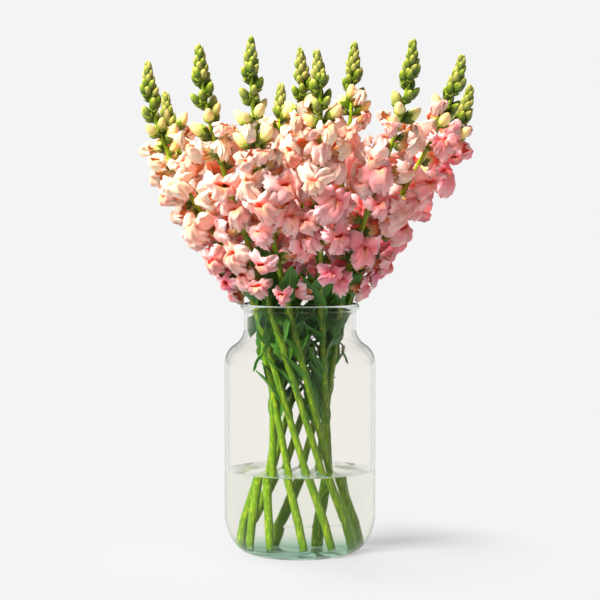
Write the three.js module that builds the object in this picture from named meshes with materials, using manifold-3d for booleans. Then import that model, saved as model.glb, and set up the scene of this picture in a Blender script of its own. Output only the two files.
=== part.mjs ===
// A bunch of cut snapdragon stems standing in a clear glass jar vase with some water.
// Millimetres, +Z up. The origin is the middle of the vase's foot, where it stands.
// Each stem is one green solid: stalk, leaves and tight buds. The open florets of its
// spike are a second solid, which stands out of a slim core sheathed round the stalk.

import * as THREE from "three";
import { mergeVertices } from "three/addons/utils/BufferGeometryUtils.js";
import Module from "manifold-3d";

const wasm = await Module();
wasm.setup();

// ---------------------------------------------------------------- driving dimensions

const GAP = 0.3; // air between neighbouring solids
const UP = new THREE.Vector3(0, 0, 1);

// The vase, by its outside radii and its heights.
const FOOT_RADIUS = 48;
const BODY_RADIUS = 75.5;
const NECK_RADIUS = 55.8;
const LIP_RADIUS = 59.2;
const WALL = 3;
const FLOOR_HEIGHT = 11; // thick glass in the bottom
const BODY_START = 36; // where the rounded bottom corner ends
const SHOULDER_START = 188;
const SHOULDER_MIDDLE = 209;
const NECK_START = 227;
const LIP_START = 243;
const VASE_HEIGHT = 250.5;
const LIP_ROUNDING = 3; // of the lip's top edge
const NECK_FLARE = 0.6; // the neck is this much wider at the lip
const VASE_SIDES = 24;
const CURVE_DIVISIONS = 3; // straight pieces of each curve in the vase's profile

// The corner points that pull the profile's curves: how far in from the body's radius the
// bottom corner's lies and how high, and how far from the shoulder's ends its two lie.
const BOTTOM_CORNER = { inwards: 5.5, height: 5, innerHeight: 3, waterInwards: 5.7 };
const SHOULDER_CORNERS = { above: 15, beyond: 6 };
const SHOULDER_THINNING = 0.8; // of the wall's thickness, where the shoulder slopes

const WATER_LEVEL = 84;

// Stalks, by radius: at the cut end, in the neck, where the flowers end, and at the tip.
const CUT_RADIUS = 3.7;
const NECK_STALK_RADIUS = 3.2;
const SPIKE_RADIUS = 2.2;
const TIP_RADIUS = 1.6;
const STALK_SIDES = 5;

// The stalks cross in the vase as a spiral: each runs straight from the vase floor to
// the neck, and turns by SPIRAL_TURN round the middle on the way.
const CUT_END_RADIUS = 47; // from the middle of the vase floor
const CUT_END_HEIGHT = FLOOR_HEIGHT + GAP + 1.2; // of its middle, as it stands aslant
const SPIRAL_TURN = 108; // degrees
const NECK_HEIGHT = 244;
const NECK_AZIMUTH = 330; // of the first stem; the rest follow at equal turns

// Above the neck each stalk bends to its tip. neckRadius is its distance from the middle
// in the neck, reach and rise are how far it keeps its first and its last direction, and
// lean is the sideways run of its last stretch for 1 mm of height. budded is how much of it
// has buds and no open florets, from the tip down.
const STEMS = [
  { tip: [107, -92, 503], neckRadius: 45, turn: 0, reach: 84, rise: 76, lean: [0, 0], budded: 72 },
  { tip: [158, -32, 492], neckRadius: 45.5, turn: 0, reach: 84, rise: 74, lean: [0.13, 0], budded: 60 },
  { tip: [172, 54, 466], neckRadius: 45.5, turn: 0, reach: 80, rise: 70, lean: [0.06, 0], budded: 44 },
  { tip: [56, 92, 511], neckRadius: 45, turn: 0, reach: 84, rise: 76, lean: [0, 0.05], budded: 62 },
  { tip: [0, 40, 502], neckRadius: 38, turn: -4, reach: 80, rise: 76, lean: [-0.1, -0.1], budded: 62 },
  { tip: [-20, 132, 470], neckRadius: 45.5, turn: -6, reach: 84, rise: 70, lean: [0.02, 0.05], budded: 42 },
  { tip: [-138, 88, 459], neckRadius: 45.5, turn: 0, reach: 80, rise: 70, lean: [0, 0], budded: 42 },
  { tip: [-150, -6, 487], neckRadius: 45.5, turn: 0, reach: 72, rise: 104, lean: [0.02, 0], budded: 78 },
  { tip: [-96, -82, 500], neckRadius: 45, turn: 0, reach: 82, rise: 74, lean: [0, 0], budded: 80 },
  { tip: [-46, -116, 504], neckRadius: 45.5, turn: -7, reach: 84, rise: 78, lean: [0.04, 0], budded: 92 },
  { tip: [16, -100, 493], neckRadius: 45, turn: 0, reach: 84, rise: 74, lean: [-0.12, 0], budded: 60 },
];
const CURVE_STEPS = 48; // straight pieces of the bend, for walking along a stalk

// Spikes: measured along the stalk, from the neck up and from the tip down.
const FLORET_START = 20; // the lowest florets, above the neck
const FLORET_STEP = 13.8;
const FLORET_SIZE = 1.2;
const BUD_LENGTH = 82; // the stretch that the buds are spaced over, for every spike
const BUD_COUNT = 7; // at most, below the cluster of tight buds at the tip
const CLUSTER_LENGTH = 34;
const CLUSTER_RADII = [6, 4, 5.4, 3.4, 4.4, 2.6, 3]; // of its rings, knobs and hollows by turns
const GOLDEN_TURN = 137.5; // degrees from one flower to the next round the stalk
const OUTWARD_FLORET = 1; // steps below the top floret: it faces away from the vase's axis
const TOP_GAP = 8; // from the lowest bud to the highest place of a floret
const TOP_FLORET_SIZE = 0.74; // the top floret opened last, so it is the smallest
const FLORET_GROWTH = 0.09; // larger by this with each step down, up to full size
const CORE_WALL = 1.9;
const CORE_RINGS = 6;
const CORE_END = 5; // past the lowest and the highest floret
const BUDDED_RINGS = 3; // of the stalk, from the core to the cluster of tight buds

// The florets of the whole bunch stay inside a cone: its radius at the rim of the vase, and
// how much wider it grows with 1 mm of height.
const BUNCH = { radius: 74, slope: 0.84 };

const LEAF_LENGTH = 52;
const LEAF_WIDTH = 11;
const LEAF_THICKNESS = 0.9;

const COLOURS = {
  glass: 0xdfeae6,
  water: 0xcfe0da,
  stem: 0x6f9a2c,
  blossom: 0xf3a3a8,
};

// ---------------------------------------------------------------- small helpers

const radians = (degrees) => (degrees * Math.PI) / 180;
const mix = (a, b, share) => a + (b - a) * share;
const vector = (x, y, z) => new THREE.Vector3(x, y, z);

// A steady draw from 0 to 1 for a set of whole numbers, the same each time.
function draw(...keys) {
  let mixed = 20011;
  for (const key of keys) {
    mixed = Math.imul(mixed ^ (key + 1), 2654435761) >>> 0;
    mixed = (mixed ^ (mixed >>> 15)) >>> 0;
  }
  return mixed / 4294967296;
}

// A closed geometry as a solid, with its faces turned out.
function solidFrom(geometry) {
  const bare = new THREE.BufferGeometry();
  bare.setAttribute("position", geometry.getAttribute("position"));
  bare.setIndex(geometry.index);
  const merged = mergeVertices(bare, 1e-3);
  const corners = merged.index.array;
  const kept = [];
  for (let i = 0; i < corners.length; i += 3) {
    const [a, b, c] = [corners[i], corners[i + 1], corners[i + 2]];
    if (a !== b && b !== c && c !== a) kept.push(a, b, c);
  }
  const vertProperties = new Float32Array(merged.attributes.position.array);
  const made = (triVerts) =>
    new wasm.Manifold(new wasm.Mesh({ numProp: 3, vertProperties, triVerts }));
  const solid = made(new Uint32Array(kept));
  return solid.volume() > 0 ? solid : made(new Uint32Array(kept.reverse()));
}

// Rings of points joined into one closed skin. A ring of one point is a tip; a longer
// ring at either end is closed with a flat fan. Rings may differ in how many points.
function skin(rings) {
  const positions = [];
  const corners = [];
  const starts = rings.map((ring) => {
    const start = positions.length / 3;
    for (const p of ring) positions.push(p.x, p.y, p.z);
    return start;
  });
  for (let r = 0; r + 1 < rings.length; r++) {
    const [n, m] = [rings[r].length, rings[r + 1].length];
    const [lower, upper] = [starts[r], starts[r + 1]];
    let [i, j] = [0, 0];
    while (i < (n > 1 ? n : 0) || j < (m > 1 ? m : 0)) {
      const climb = m > 1 && (n === 1 || i >= n || (j + 0.5) / m <= (i + 0.5) / n);
      if (climb) {
        corners.push(lower + (i % n), upper + ((j + 1) % m), upper + (j % m));
        j += 1;
      } else {
        corners.push(lower + (i % n), lower + ((i + 1) % n), upper + (j % m));
        i += 1;
      }
    }
  }
  const last = rings.length - 1;
  for (let i = 1; i + 1 < rings[0].length; i++)
    corners.push(starts[0], starts[0] + i + 1, starts[0] + i);
  for (let i = 1; i + 1 < rings[last].length; i++)
    corners.push(starts[last], starts[last] + i, starts[last] + i + 1);
  const geometry = new THREE.BufferGeometry();
  geometry.setAttribute("position", new THREE.Float32BufferAttribute(positions, 3));
  geometry.setIndex(corners);
  return geometry;
}

// The largest body of a fused solid, with any sealed hollow filled and scraps dropped.
function largestBody(solid) {
  return solid.decompose().reduce((a, b) => (b.volume() > a.volume() ? b : a));
}

function fuse(solids) {
  return largestBody(solids.reduce((whole, piece) => whole.add(piece)));
}

// ---------------------------------------------------------------- vase and water

// The outside of the vase from the foot to the top of the lip, moved in by inset.
function wallProfile(path, inset) {
  const body = BODY_RADIUS - inset;
  const neck = NECK_RADIUS - inset;
  const { inwards, height, innerHeight } = BOTTOM_CORNER;
  path.quadraticCurveTo(
    body - inwards, inset ? FLOOR_HEIGHT + innerHeight : height,
    body, BODY_START,
  );
  path.lineTo(body, SHOULDER_START);
  path.quadraticCurveTo(
    body, SHOULDER_START + SHOULDER_CORNERS.above,
    (body + neck) / 2, SHOULDER_MIDDLE - inset * SHOULDER_THINNING,
  );
  path.quadraticCurveTo(neck, SHOULDER_MIDDLE + SHOULDER_CORNERS.beyond, neck, NECK_START);
  path.lineTo(neck + NECK_FLARE, LIP_START);
}

function turned(path) {
  return new THREE.LatheGeometry(path.getPoints(CURVE_DIVISIONS), VASE_SIDES).rotateX(Math.PI / 2);
}

function vaseSolid() {
  const outside = new THREE.Path();
  outside.moveTo(0, 0);
  outside.lineTo(FOOT_RADIUS, 0);
  wallProfile(outside, 0);
  outside.lineTo(LIP_RADIUS, LIP_START + LIP_ROUNDING);
  outside.quadraticCurveTo(LIP_RADIUS, VASE_HEIGHT, LIP_RADIUS - LIP_ROUNDING, VASE_HEIGHT);
  outside.lineTo(0, VASE_HEIGHT);
  const inside = new THREE.Path();
  const top = VASE_HEIGHT + 1; // past the lip, so that the mouth is cut open
  inside.moveTo(0, FLOOR_HEIGHT);
  inside.lineTo(FOOT_RADIUS, FLOOR_HEIGHT);
  wallProfile(inside, WALL);
  inside.quadraticCurveTo(NECK_RADIUS - WALL + 1, VASE_HEIGHT, LIP_RADIUS - LIP_ROUNDING, top);
  inside.lineTo(0, top);
  return solidFrom(turned(outside)).subtract(solidFrom(turned(inside)));
}

function waterSolid(stalkHoles) {
  const path = new THREE.Path();
  const corner = BODY_RADIUS - WALL - GAP;
  const { waterInwards, innerHeight } = BOTTOM_CORNER;
  path.moveTo(0, FLOOR_HEIGHT + GAP);
  path.lineTo(FOOT_RADIUS - GAP, FLOOR_HEIGHT + GAP);
  path.quadraticCurveTo(
    corner - waterInwards, FLOOR_HEIGHT + innerHeight + GAP,
    corner, BODY_START + GAP,
  );
  path.lineTo(corner, WATER_LEVEL);
  path.lineTo(0, WATER_LEVEL);
  const full = solidFrom(turned(path));
  return largestBody(stalkHoles.reduce((water, hole) => water.subtract(hole), full));
}

// ---------------------------------------------------------------- the line of a stalk

// The points of one stalk's middle line, with their distance from its cut end.
function stalkLine(index) {
  const { tip, neckRadius, turn, reach, rise, lean } = STEMS[index];
  const neckTurn = radians(NECK_AZIMUTH + (360 / STEMS.length) * index + turn);
  const cutTurn = neckTurn + radians(SPIRAL_TURN);
  const neck = vector(
    neckRadius * Math.cos(neckTurn), neckRadius * Math.sin(neckTurn), NECK_HEIGHT,
  );
  const cut = vector(
    CUT_END_RADIUS * Math.cos(cutTurn), CUT_END_RADIUS * Math.sin(cutTurn), CUT_END_HEIGHT,
  );
  const end = vector(...tip);
  const leaving = neck.clone().sub(cut).normalize().multiplyScalar(reach);
  const arriving = vector(lean[0], lean[1], 1).multiplyScalar(rise);
  const bend = new THREE.CubicBezierCurve3(
    neck, neck.clone().add(leaving), end.clone().sub(arriving), end,
  );
  const points = [cut];
  for (let i = 0; i <= CURVE_STEPS; i++) points.push(bend.getPoint(i / CURVE_STEPS));
  const lengths = [0];
  for (let i = 1; i < points.length; i++)
    lengths.push(lengths[i - 1] + points[i].distanceTo(points[i - 1]));
  return { points, lengths, neckLength: lengths[1], length: lengths[lengths.length - 1] };
}

function pointAlong(line, distance) {
  let i = 1;
  while (i + 1 < line.points.length && line.lengths[i] < distance) i += 1;
  const share = (distance - line.lengths[i - 1]) / (line.lengths[i] - line.lengths[i - 1]);
  return line.points[i - 1].clone().lerp(line.points[i], share);
}

const DIRECTION_REACH = 4; // each way along the stalk, to smooth its direction

function directionAlong(line, distance) {
  const behind = pointAlong(line, distance - DIRECTION_REACH);
  return pointAlong(line, distance + DIRECTION_REACH).sub(behind).normalize();
}

// The stalk's radius at a distance from its cut end.
function stalkRadius(line, distance) {
  if (distance < line.neckLength)
    return mix(CUT_RADIUS, NECK_STALK_RADIUS, distance / line.neckLength);
  const spikeLength = line.length - BUD_LENGTH;
  if (distance < spikeLength) {
    const share = (distance - line.neckLength) / (spikeLength - line.neckLength);
    return mix(NECK_STALK_RADIUS, SPIKE_RADIUS, share);
  }
  return mix(SPIKE_RADIUS, TIP_RADIUS, (distance - spikeLength) / BUD_LENGTH);
}

// The place and the three directions of something that grows from a stalk: out of it,
// turned by azimuth round it and raised by lift towards its tip.
function growth(line, distance, azimuth, lift) {
  const along = directionAlong(line, distance);
  const level = vector(Math.cos(azimuth), Math.sin(azimuth), 0);
  const out = level.addScaledVector(along, -level.dot(along)).normalize();
  const forward = out.multiplyScalar(Math.cos(lift)).addScaledVector(along, Math.sin(lift));
  const side = UP.clone().cross(forward).normalize();
  const top = forward.clone().cross(side);
  return { origin: pointAlong(line, distance), forward, side, top };
}

// A point given by its run forward, sideways and upwards in a growth's own directions.
function placed(at, forward, side, top) {
  return at.origin.clone()
    .addScaledVector(at.forward, forward)
    .addScaledVector(at.side, side)
    .addScaledVector(at.top, top);
}

// A ring of points round the stalk's middle line, turned by a share of a side.
function ringRound(line, distance, radius, turn) {
  const middle = pointAlong(line, distance);
  const along = directionAlong(line, distance);
  const side = along.clone().cross(vector(0, 1, 0)).normalize();
  const front = along.clone().cross(side);
  return Array.from({ length: STALK_SIDES }, (_, i) => {
    const angle = (2 * Math.PI * (i + turn)) / STALK_SIDES;
    return middle.clone()
      .addScaledVector(side, radius * Math.cos(angle))
      .addScaledVector(front, radius * Math.sin(angle));
  });
}

// The rings of a stretch of stalk, thicker than it by extra.
function stalkRings(line, distances, extra) {
  return distances.map((distance) =>
    ringRound(line, distance, stalkRadius(line, distance) + extra, 0));
}

function stalkTube(line, distances, extra) {
  return solidFrom(skin(stalkRings(line, distances, extra)));
}

function evenly(from, to, count) {
  return Array.from({ length: count }, (_, i) => mix(from, to, i / (count - 1)));
}

// ---------------------------------------------------------------- buds, leaves, florets

// A pointed oval bud. size is 1 for the lowest bud of a spike.
const BUD_BODY = { length: 17, radius: 5.2, belly: 0.55 };
const BUD_SIDES = 4;

function budSolid(at, size) {
  const { length, radius, belly } = BUD_BODY;
  const ring = Array.from({ length: BUD_SIDES }, (_, i) => {
    const angle = (2 * Math.PI * i) / BUD_SIDES;
    return placed(
      at, length * size * belly,
      radius * size * Math.cos(angle), radius * size * Math.sin(angle),
    );
  });
  return solidFrom(skin([[at.origin], ring, [placed(at, length * size, 0, 0)]]));
}

// A lance-shaped leaf that arches over. Its cuts across are thin oblongs.
const LEAF_CUTS = [
  { run: 0.0, width: 0.2 },
  { run: 0.38, width: 1 },
  { run: 0.7, width: 0.8 },
];
const LEAF_DROOP = 0.22;

function leafPoint(at, size, run, side, top) {
  const drop = LEAF_DROOP * run * run * LEAF_LENGTH * size;
  return placed(at, run * LEAF_LENGTH * size, side, top - drop);
}

function leafSolid(at, size) {
  const rings = LEAF_CUTS.map(({ run, width }) => {
    const half = (width * LEAF_WIDTH * size) / 2;
    const thick = LEAF_THICKNESS / 2;
    return [
      leafPoint(at, size, run, -half, -thick),
      leafPoint(at, size, run, half, -thick),
      leafPoint(at, size, run, half, thick),
      leafPoint(at, size, run, -half, thick),
    ];
  });
  return solidFrom(skin([...rings, [leafPoint(at, size, 1, 0, 0)]]));
}

// An open floret, by its runs forward from the middle of the stalk.
const FLORET = { rootRadius: 1.3, mouth: 18, mouthRadius: 5.6, lips: 23, palate: 29 };
const TUBE_SIDES = 4;
const PETAL_THICKNESS = 1;
// The lips' outline, clockwise from the notch between the two upper lobes: how far round
// in degrees, how far out, and how far forward of the lips' plane.
const LIP_OUTLINE = [
  { turn: 0, out: 10.5, forward: -1 },
  { turn: 20, out: 17, forward: -3 },
  { turn: 50, out: 16.5, forward: -3 },
  { turn: 84, out: 8.5, forward: 0 },
  { turn: 114, out: 15, forward: 2.5 },
  { turn: 146, out: 10, forward: 2 },
  { turn: 180, out: 15.5, forward: 0.5 },
  { turn: 214, out: 10, forward: 2 },
  { turn: 246, out: 15, forward: 2.5 },
  { turn: 276, out: 8.5, forward: 0 },
  { turn: 310, out: 16.5, forward: -3 },
  { turn: 340, out: 17, forward: -3 },
];

function tubeRing(at, size, forward, radius) {
  return Array.from({ length: TUBE_SIDES }, (_, i) => {
    const angle = (2 * Math.PI * i) / TUBE_SIDES;
    return placed(
      at, forward * size, radius * size * Math.sin(angle), radius * size * Math.cos(angle),
    );
  });
}

function lipRing(at, size, back) {
  return LIP_OUTLINE.map(({ turn, out, forward }) =>
    placed(
      at, (FLORET.lips + forward) * size - back,
      out * size * Math.sin(radians(turn)), out * size * Math.cos(radians(turn)),
    ));
}

function floretSolid(at, size, root) {
  return solidFrom(skin([
    tubeRing(at, size, root / size, FLORET.rootRadius),
    tubeRing(at, size, FLORET.mouth, FLORET.mouthRadius),
    lipRing(at, size, PETAL_THICKNESS),
    lipRing(at, size, 0),
    [placed(at, FLORET.palate * size, 0, -2 * size)],
  ]));
}

// Balls that hold each shape, for keeping the pieces clear of each other: run forward,
// sideways and up, and radius.
const FLORET_BALLS = [
  [10, 0, 0, 4.2],
  [17, 0, 0, 5.8],
  [24, 0, -1, 7.5],
  [21.5, 5.5, 8, 6],
  [21.5, -5.5, 8, 6],
  [20.5, 9.5, 12.5, 4.6],
  [20.5, -9.5, 12.5, 4.6],
  [25, 9, -4, 5.6],
  [25, -9, -4, 5.6],
  [24, 0, -10.5, 5.4],
];
const LEAF_BALLS = 6;

function floretBalls(at, size) {
  return FLORET_BALLS.map(([forward, side, top, radius], i) => ({
    middle: placed(at, forward * size, side * size, top * size),
    radius: radius * size + GAP,
    root: i < 2,
    floret: true,
  }));
}

function leafBalls(at, size) {
  return Array.from({ length: LEAF_BALLS }, (_, i) => {
    const run = (i + 0.9) / LEAF_BALLS;
    return {
      middle: leafPoint(at, size, run, 0, 0),
      radius: 0.5 * LEAF_WIDTH * size * Math.min(1, 3.2 * (1.08 - run)) + GAP,
      root: i < 2,
    };
  });
}

// ---------------------------------------------------------------- the layout of the bunch

const lines = STEMS.map((_, index) => stalkLine(index));

// Which way a flower faces, in degrees, from its number up the stalk past the top floret.
function flowerAzimuth(index, number) {
  const [x, y] = STEMS[index].tip;
  const outward = (Math.atan2(y, x) * 180) / Math.PI;
  return outward + GOLDEN_TURN * (OUTWARD_FLORET + number);
}

// The buds of one spike, from the lowest up: smaller and steeper towards the tip.
function budPlaces(index) {
  const line = lines[index];
  const places = Array.from({ length: BUD_COUNT }, (_, i) => {
    const share = i / (BUD_COUNT - 1);
    const below = mix(BUD_LENGTH, CLUSTER_LENGTH + 1, share);
    const azimuth = radians(flowerAzimuth(index, i + 1));
    const lift = radians(mix(36, 60, share));
    return { at: growth(line, line.length - below, azimuth, lift), size: mix(1, 0.8, share), below };
  });
  return places.filter(({ below }) => below <= STEMS[index].budded);
}

// Whether a ball is clear of the glass of the vase, above it, inside it or, where it
// may hang over the lip, outside it. What may hang over stays inside the bunch's cone.
function clearOfVase({ middle, radius }, mayHangOver) {
  const fromAxis = Math.hypot(middle.x, middle.y);
  const bunchRadius = BUNCH.radius + BUNCH.slope * (middle.z - VASE_HEIGHT);
  if (mayHangOver && fromAxis + radius > bunchRadius) return false;
  if (middle.z - radius > VASE_HEIGHT + GAP) return true;
  const inside = middle.z + radius < SHOULDER_START ? BODY_RADIUS : NECK_RADIUS;
  if (fromAxis + radius < inside - WALL - GAP) return true;
  return mayHangOver && fromAxis - radius > LIP_RADIUS + GAP;
}

// Whether balls miss every taken ball. At its root a piece may meet its own stalk, and
// florets of one spike may brush each other, down to a share of the full distance.
const BRUSH = 0.85;

function clearOf(balls, taken, index) {
  return balls.every((ball) => taken.every((other) => {
    const own = other.index === index;
    if (own && other.stalk && ball.root) return true;
    const reach = (ball.radius + other.radius) * (own && ball.floret && other.floret ? BRUSH : 1);
    return ball.middle.distanceToSquared(other.middle) >= reach * reach;
  }));
}

// The florets and leaves of the whole bunch. Each tries its own place round the stalk
// first, then turns a little further each way, and is left out where nothing is free.
const FLORET_TURNS = [0, 18, -18, 36, -36, 54, -54, 72, -72, 90, -90];
const FLORET_LIFTS = [12, 30, -6, 46];
const LEAF_TURNS = [0, 30, -30, 60, -60, 90, -90, 120, -120, 150, -150, 180];
const LEAF_LIFTS = [52, 66, 76];
const LEAF_DISTANCES = [-58, -34, -8]; // along the stalk from the neck
const STALK_BALL_STEP = 4; // between the balls that hold a stalk
const BUD_ROOM = 2; // kept free round a bud

function layout() {
  const taken = [];
  lines.forEach((line, index) => {
    for (let distance = 0; distance < line.length; distance += STALK_BALL_STEP) {
      const radius = stalkRadius(line, distance) + CORE_WALL + 2 * GAP;
      taken.push({ index, stalk: true, middle: pointAlong(line, distance), radius });
    }
  });
  const buds = lines.map((_, index) => budPlaces(index));
  buds.forEach((places, index) => places.forEach(({ at, size }) => {
    const middle = placed(at, BUD_BODY.length * size * 0.5, 0, 0);
    taken.push({ index, middle, radius: (BUD_BODY.radius + BUD_ROOM) * size });
  }));
  const florets = lines.map(() => []);
  const leaves = lines.map(() => []);
  const steps = Math.max(...lines.map((line) => line.length)) / FLORET_STEP;
  for (let step = 0; step < steps; step++) {
    lines.forEach((line, index) => {
      const top = STEMS[index].budded + TOP_GAP;
      const distance = line.length - top - FLORET_STEP * (step + 0.5 * draw(index, 2));
      if (distance < line.neckLength + FLORET_START) return;
      const grown = FLORET_SIZE * Math.min(1, TOP_FLORET_SIZE + FLORET_GROWTH * step);
      const size = grown * mix(0.94, 1.06, draw(index, step, 3));
      const azimuth = flowerAzimuth(index, -step);
      for (const lift of FLORET_LIFTS)
        for (const turn of FLORET_TURNS) {
          const at = growth(line, distance, radians(azimuth + turn), radians(lift));
          const balls = floretBalls(at, size);
          if (!balls.every((ball) => clearOfVase(ball, true))) continue;
          if (!clearOf(balls, taken, index)) continue;
          for (const ball of balls) taken.push({ index, ...ball });
          florets[index].push({ at, size, distance });
          return;
        }
    });
  }
  lines.forEach((line, index) => LEAF_DISTANCES.forEach((offset, i) => {
    const distance = line.neckLength + offset + 6 * draw(index, i, 5);
    const size = mix(0.75, 1.1, draw(index, i, 6));
    const azimuth = 360 * draw(index, i, 7);
    for (const lift of LEAF_LIFTS)
      for (const turn of LEAF_TURNS) {
        const at = growth(line, distance, radians(azimuth + turn), radians(lift));
        const balls = leafBalls(at, size);
        if (!balls.every((ball) => clearOfVase(ball, false))) continue;
        if (!clearOf(balls, taken, index)) continue;
        for (const ball of balls) taken.push({ index, ...ball });
        leaves[index].push({ at, size });
        return;
      }
  }));
  return { buds, florets, leaves };
}

const { buds, florets, leaves } = layout();

// ---------------------------------------------------------------- the solids of one stem

// The stretch of stalk that the core of the florets covers.
function coreDistances(index) {
  const distances = florets[index].map(({ distance }) => distance);
  const from = Math.min(...distances) - CORE_END;
  const to = Math.max(...distances) + CORE_END;
  return evenly(from, to, CORE_RINGS);
}

// The stalk has its rings where the core has them, so that the two stay parallel.
function stalkDistances(index) {
  const { neckLength, length } = lines[index];
  const core = coreDistances(index);
  const [from, to] = [core[0], core[CORE_RINGS - 1]];
  const above = evenly(to, length - CLUSTER_LENGTH, BUDDED_RINGS).slice(1);
  return [0, neckLength, (neckLength + from) / 2, ...core, ...above];
}

// The stalk ends in its cluster of tight buds: rings that swell and shrink by turns, each
// turned half a side from the last, so that they stand out as knobs in a spiral.
function budCluster(line) {
  const rings = CLUSTER_RADII.map((radius, i) => {
    const distance = line.length - CLUSTER_LENGTH * (1 - (i + 1) / (CLUSTER_RADII.length + 1));
    return ringRound(line, distance, radius, ((i + 1) % 2) / 2);
  });
  return [...rings, [pointAlong(line, line.length)]];
}

function stemSolid(index) {
  const line = lines[index];
  const stalk = skin([...stalkRings(line, stalkDistances(index), 0), ...budCluster(line)]);
  return fuse([
    solidFrom(stalk),
    ...buds[index].map(({ at, size }) => budSolid(at, size)),
    ...leaves[index].map(({ at, size }) => leafSolid(at, size)),
  ]);
}

function waterHole(index) {
  const line = lines[index];
  return stalkTube(line, [-CUT_END_HEIGHT, line.neckLength], GAP);
}

function blossomsSolid(index) {
  const line = lines[index];
  const core = stalkTube(line, coreDistances(index), GAP + CORE_WALL);
  const hollow = stalkTube(line, stalkDistances(index), GAP);
  const grown = florets[index].map(({ at, size, distance }) =>
    floretSolid(at, size, stalkRadius(line, distance) + GAP + CORE_WALL / 2));
  return largestBody(fuse([core, ...grown]).subtract(hollow));
}

// ---------------------------------------------------------------- the scene graph

function meshOf(name, solid, colour, finish) {
  const { vertProperties, numProp, triVerts } = solid.getMesh();
  const positions = [];
  for (let i = 0; i < vertProperties.length; i += numProp)
    positions.push(...vertProperties.subarray(i, i + 3));
  const geometry = new THREE.BufferGeometry();
  geometry.setAttribute("position", new THREE.Float32BufferAttribute(positions, 3));
  geometry.setIndex([...triVerts]);
  const material = new THREE.MeshStandardMaterial({ color: colour, metalness: 0, ...finish });
  const mesh = new THREE.Mesh(geometry, material);
  mesh.name = name;
  return mesh;
}

const clear = { roughness: 0.05, transparent: true, opacity: 0.3 };
const bunch = new THREE.Group();
bunch.add(meshOf("vase", vaseSolid(), COLOURS.glass, clear));
bunch.add(meshOf("water", waterSolid(lines.map((_, i) => waterHole(i))), COLOURS.water, clear));
STEMS.forEach((_, index) => {
  const number = index + 1;
  bunch.add(meshOf("stem_" + number, stemSolid(index), COLOURS.stem, { roughness: 0.6 }));
  bunch.add(
    meshOf("blossoms_" + number, blossomsSolid(index), COLOURS.blossom, { roughness: 0.7 }),
  );
});

export default bunch;
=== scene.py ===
# %% [markdown]
# # A bunch of cut snapdragons in a glass jar
# Eleven stems of pink snapdragon stand in a clear glass jar with a little water. The solids
# of the jar, the water, the stems and the blossoms are already made and packed, and this
# lesson dresses them: blown glass, still water, crossed green stalks, lance leaves, beaded
# tips and ruffled two-lipped flowers. All of it is in metres, in the frame of the solids.

# %% Load the frame
import math
from collections import namedtuple
from itertools import product

import bpy
import numpy as np
from mathutils import Euler, Matrix, Vector, noise


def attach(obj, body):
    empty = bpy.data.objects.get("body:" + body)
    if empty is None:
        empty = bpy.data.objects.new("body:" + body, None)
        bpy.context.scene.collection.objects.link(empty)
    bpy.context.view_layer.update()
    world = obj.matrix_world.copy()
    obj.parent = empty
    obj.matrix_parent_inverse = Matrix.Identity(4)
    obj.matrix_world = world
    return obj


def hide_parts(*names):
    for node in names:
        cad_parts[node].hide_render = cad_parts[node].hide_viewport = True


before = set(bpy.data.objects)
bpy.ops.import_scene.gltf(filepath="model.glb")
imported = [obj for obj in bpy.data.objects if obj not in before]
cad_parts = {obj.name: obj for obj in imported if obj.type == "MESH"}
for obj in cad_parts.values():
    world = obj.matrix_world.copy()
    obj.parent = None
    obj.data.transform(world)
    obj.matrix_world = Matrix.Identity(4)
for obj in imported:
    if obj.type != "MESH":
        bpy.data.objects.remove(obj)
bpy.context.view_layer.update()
SCENE = bpy.context.scene

# %% [markdown]
# ## The camera
# The bunch is looked at straight on, from a little above its middle and from far away, so
# that the jar keeps its true outline. A long lens does this. It could be aimed with a
# constraint, but the direction is simple, so the turn is worked out once and set.

# %% Camera
CAMERA_PLACE = Vector((0, -2.3, 0.388))
CAMERA_AIM = Vector((0, 0, 0.2538))
CAMERA_LENS = 138.7  # millimetres, on a sensor 36 mm wide


def fresh(operator, **settings):
    """What an operator makes. Nothing else is selected."""
    bpy.ops.object.select_all(action="DESELECT")
    operator(**settings)
    return bpy.context.object


def facing(place, aim):
    """The turn that points a camera or light from a place to its aim."""
    return (Vector(aim) - Vector(place)).to_track_quat("-Z", "Y").to_euler()


camera = fresh(bpy.ops.object.camera_add, location=CAMERA_PLACE)
camera.rotation_euler = facing(CAMERA_PLACE, CAMERA_AIM)
camera.data.lens = CAMERA_LENS
SCENE.camera = camera
print("camera at", tuple(camera.location))

# %% [markdown]
# ## The plan of the bunch
# A florist lets the stalks cross in the jar as a spiral, and each spike then leans out over
# the rim. The solids were placed by a rule: a line for each stalk, and flowers that try
# their own place round it first and turn a little until they are clear of all the others.
# The same rule is worked out again here, in millimetres, so that each fine flower grows
# exactly where its plain solid grows. Reading places off the solids' meshes would be
# shorter, but a rule also says which way each flower faces.

# %% Sizes of the stalks and of what grows on them
MM = 0.001  # metres in a millimetre
GAP = 0.3

FLOOR_HEIGHT = 11
BODY_RADIUS = 75.5
NECK_RADIUS = 55.8
LIP_RADIUS = 59.2
WALL = 3
SHOULDER_START = 188
JAR_HEIGHT = 250.5

CUT_RADIUS = 3.7
NECK_STALK_RADIUS = 3.2
SPIKE_RADIUS = 2.2
TIP_RADIUS = 1.6
CORE_WALL = 1.9

CUT_END_RADIUS = 47
CUT_END_HEIGHT = FLOOR_HEIGHT + GAP + 1.2
SPIRAL_TURN = 108
NECK_HEIGHT = 244
NECK_AZIMUTH = 330
CURVE_STEPS = 48

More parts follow.
